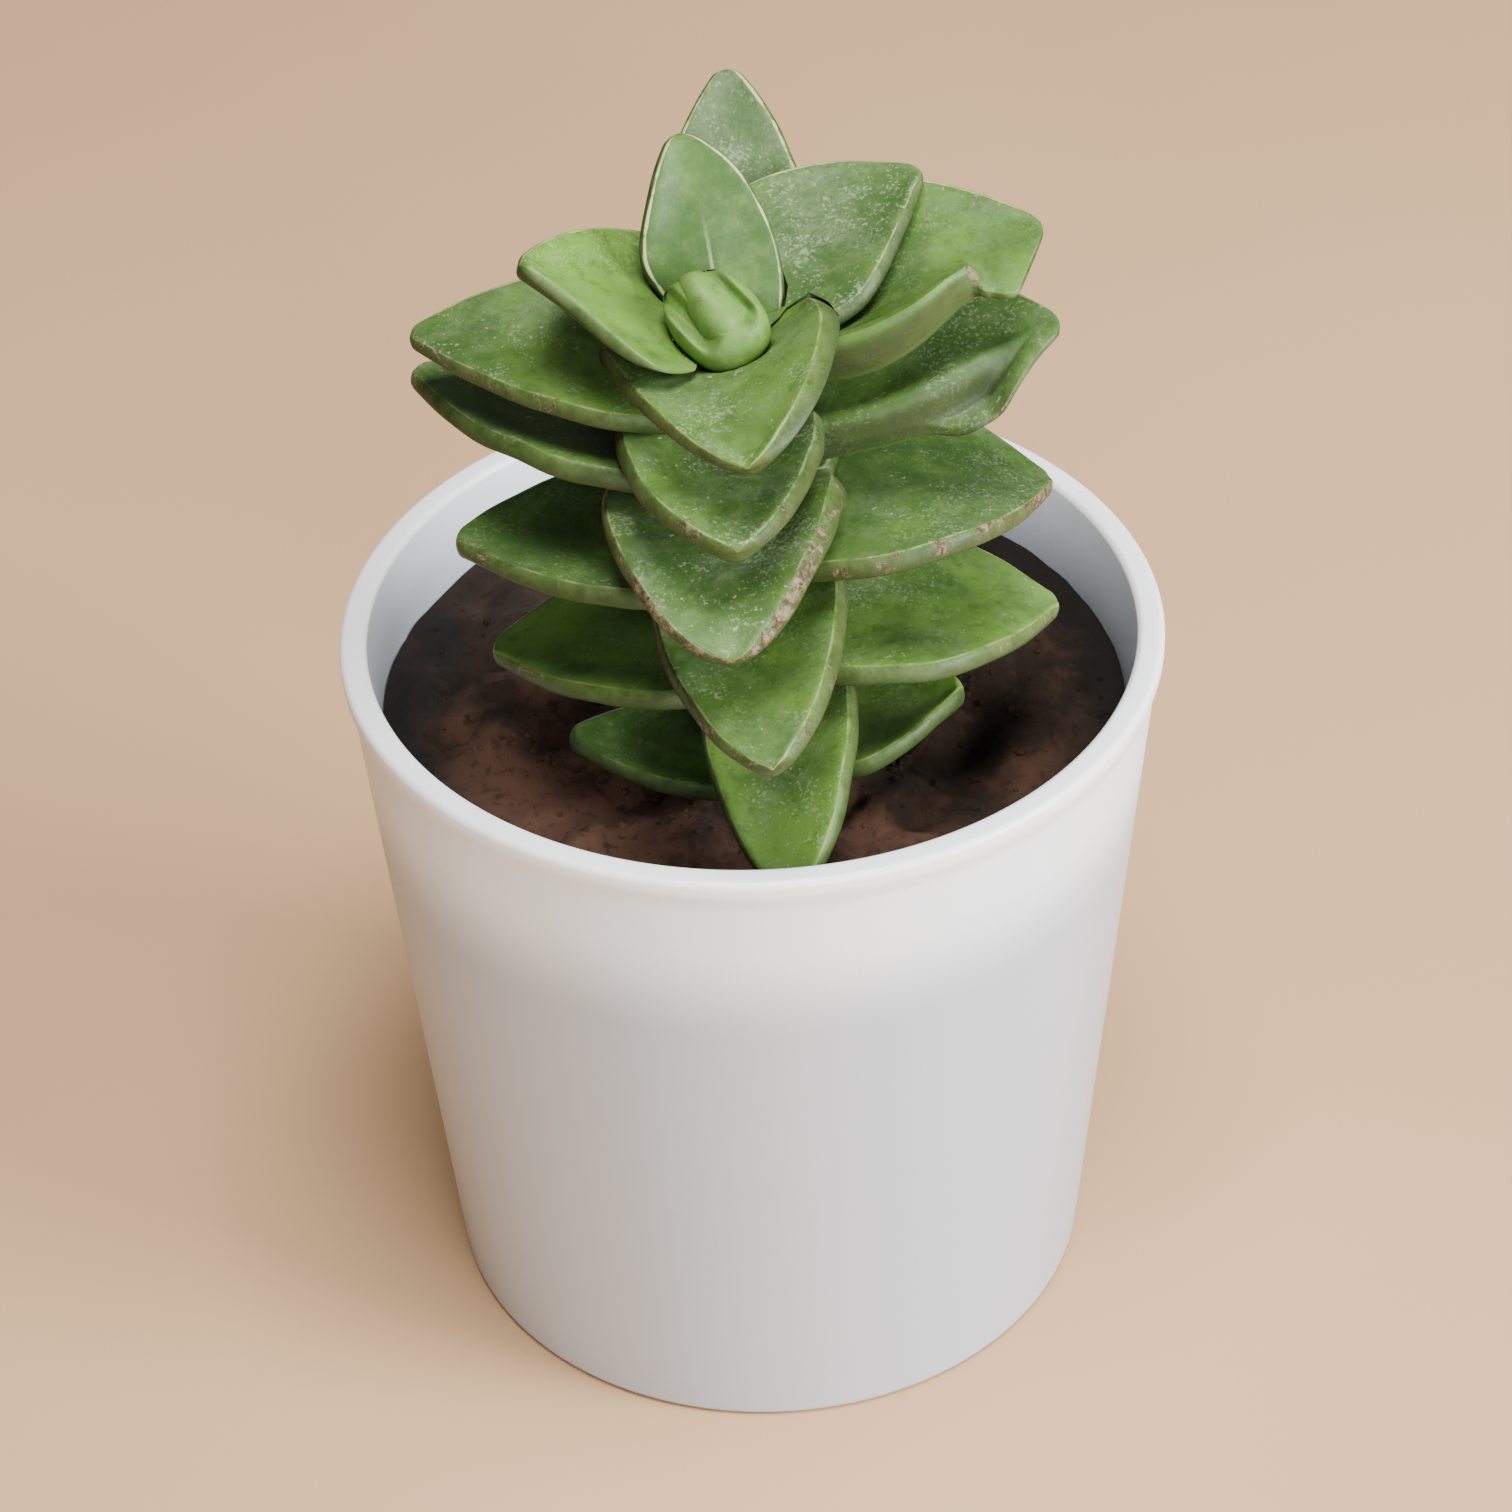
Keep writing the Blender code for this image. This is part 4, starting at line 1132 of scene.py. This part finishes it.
def bud_mesh(name, rows, columns):
    """A slimmer egg that lies in the trough, turned a little to the left and raised at the stem."""
    local = blunt_egg(bud_half_sizes, bud_bluntness, 0.0, rows, columns)
    local[..., 1] += 0.15 * mm - 0.10 * local[..., 0]
    local[..., 2] -= 0.05 * local[..., 0]
    return closed_mesh(name, bud_middle + local @ bud_axes, egg_maps(local))


def leaf_mesh(name, mesh_name, rows, face_points, wall_points, swell=0.0, uneven=1.0):
    """The leaf's skin as an object. A swollen, even one serves to cut its neighbours back."""
    points, maps = leaf_shape(name, rows, face_points, wall_points, swell, uneven)
    return closed_mesh(mesh_name, points, maps)


def neighbour_cutter(name):
    """A neighbour's shape, swollen by the gap that is kept to it."""
    if name == "leaf_01_front":
        return cup_mesh("cutter", 20, 24, pressed_gap)
    sizes = (cutter_rows, cutter_face_points, cutter_wall_points)
    if name in leaf_ridges:
        sizes = (2 * cutter_rows, 3 * cutter_face_points, cutter_wall_points)
    return leaf_mesh(name, "cutter", *sizes, swell=pressed_gap, uneven=0.0)


for name in leaf_forms:
    sizes = (leaf_rows, leaf_face_points, leaf_wall_points)
    if name in leaf_ridges:
        sizes = (ridged_rows, ridged_face_points, leaf_wall_points)
    leaf = leaf_mesh(name, name + "_fleshy", *sizes)
    for neighbour in pressed_by.get(name, ()):
        cut_back(leaf, neighbour_cutter(neighbour))
    keep_largest_piece(leaf.data)
    leaf.data.shade_smooth()
    leaf.data.set_sharp_from_angle(angle=sharp_angle)
    finished(leaf, name, leaf_skin_material(name, *leaf_looks[name]))

bud = bud_mesh("bud_ridge", bud_rows, bud_columns)
cup = cup_mesh("leaf_01_front_cup", cup_rows, cup_columns)
sizes = (cutter_rows, cutter_face_points, cutter_wall_points)
for piece in (cup, bud):
    cut_back(piece, leaf_mesh("leaf_01_back", "cutter", *sizes, swell=bud_gap, uneven=0.0))
    piece.data.shade_smooth()
    piece.data.set_sharp_from_angle(angle=sharp_angle)
# The cup and bud carry a strong wax bloom, raised partly as a painted highlight that pales them all over.
young_skin = leaf_skin_material("bud", 0.85, 0.40, 0.0, 0.0, 0.1)
finished(cup, "leaf_01_front", young_skin)
finished(bud, "bud", young_skin)


# ------------------------------------------------------------------------------------------------
# Studio: a plain pale floor, a soft light like a window on the right, another overhead, and a
# broad weak one low in front, a little to the right.
floor_size = 3.0
floor_tan, floor_pale = (0.55, 0.335, 0.175), (0.58, 0.36, 0.195)
plant_middle = 90 * mm
world_colour, world_strength = (0.93, 0.96, 1.0, 1.0), 0.12


def studio_floor():
    """A matt tan paint with a faint cloudy tone."""
    made, tree, shader = new_material("floor_paint")
    cloud = noise(tree, object_place(tree), 6.0, 3.0)
    colour = mixed(tree, stepped(tree, cloud, 0.3, 0.7), floor_tan, floor_pale)
    tree.links.new(colour, shader.inputs["Base Color"])
    shader.inputs["Roughness"].default_value = 0.7
    return made


floor_mesh = bpy.data.meshes.new("floor")
corners = np.array([[-1, -1, 0], [1, -1, 0], [1, 1, 0], [-1, 1, 0]]) * floor_size
floor_mesh.from_pydata(corners.tolist(), [], [(0, 1, 2, 3)])
floor_mesh.materials.append(studio_floor())
floor = bpy.data.objects.new("floor", floor_mesh)
collection.objects.link(floor)


def soft_light(name, place, size, power, colour):
    """A square area light of that size in metres, aimed at the plant."""
    lamp = bpy.data.lights.new(name, "AREA")
    lamp.shape = "SQUARE"
    lamp.size = size
    lamp.energy = power
    lamp.color = colour
    made = bpy.data.objects.new(name, lamp)
    collection.objects.link(made)
    target = Matrix.Translation((0.0, 0.0, plant_middle))
    aim = (target.translation - Matrix.Translation(place).translation).to_track_quat("-Z", "Y")
    made.matrix_world = Matrix.Translation(place) @ aim.to_matrix().to_4x4()


soft_light("window", (0.85, -0.36, 0.46), 0.45, 23.0, (0.94, 0.97, 1.0))
soft_light("overhead", (0.05, -0.20, 1.05), 0.45, 16.5, (1.0, 0.99, 0.97))
soft_light("fill", (0.35, -0.95, 0.26), 0.7, 11.5, (0.97, 0.99, 1.0))

world = bpy.data.worlds.new("studio")
world.use_nodes = True
background = world.node_tree.nodes["Background"]
background.inputs["Color"].default_value = world_colour
background.inputs["Strength"].default_value = world_strength
bpy.context.scene.world = world
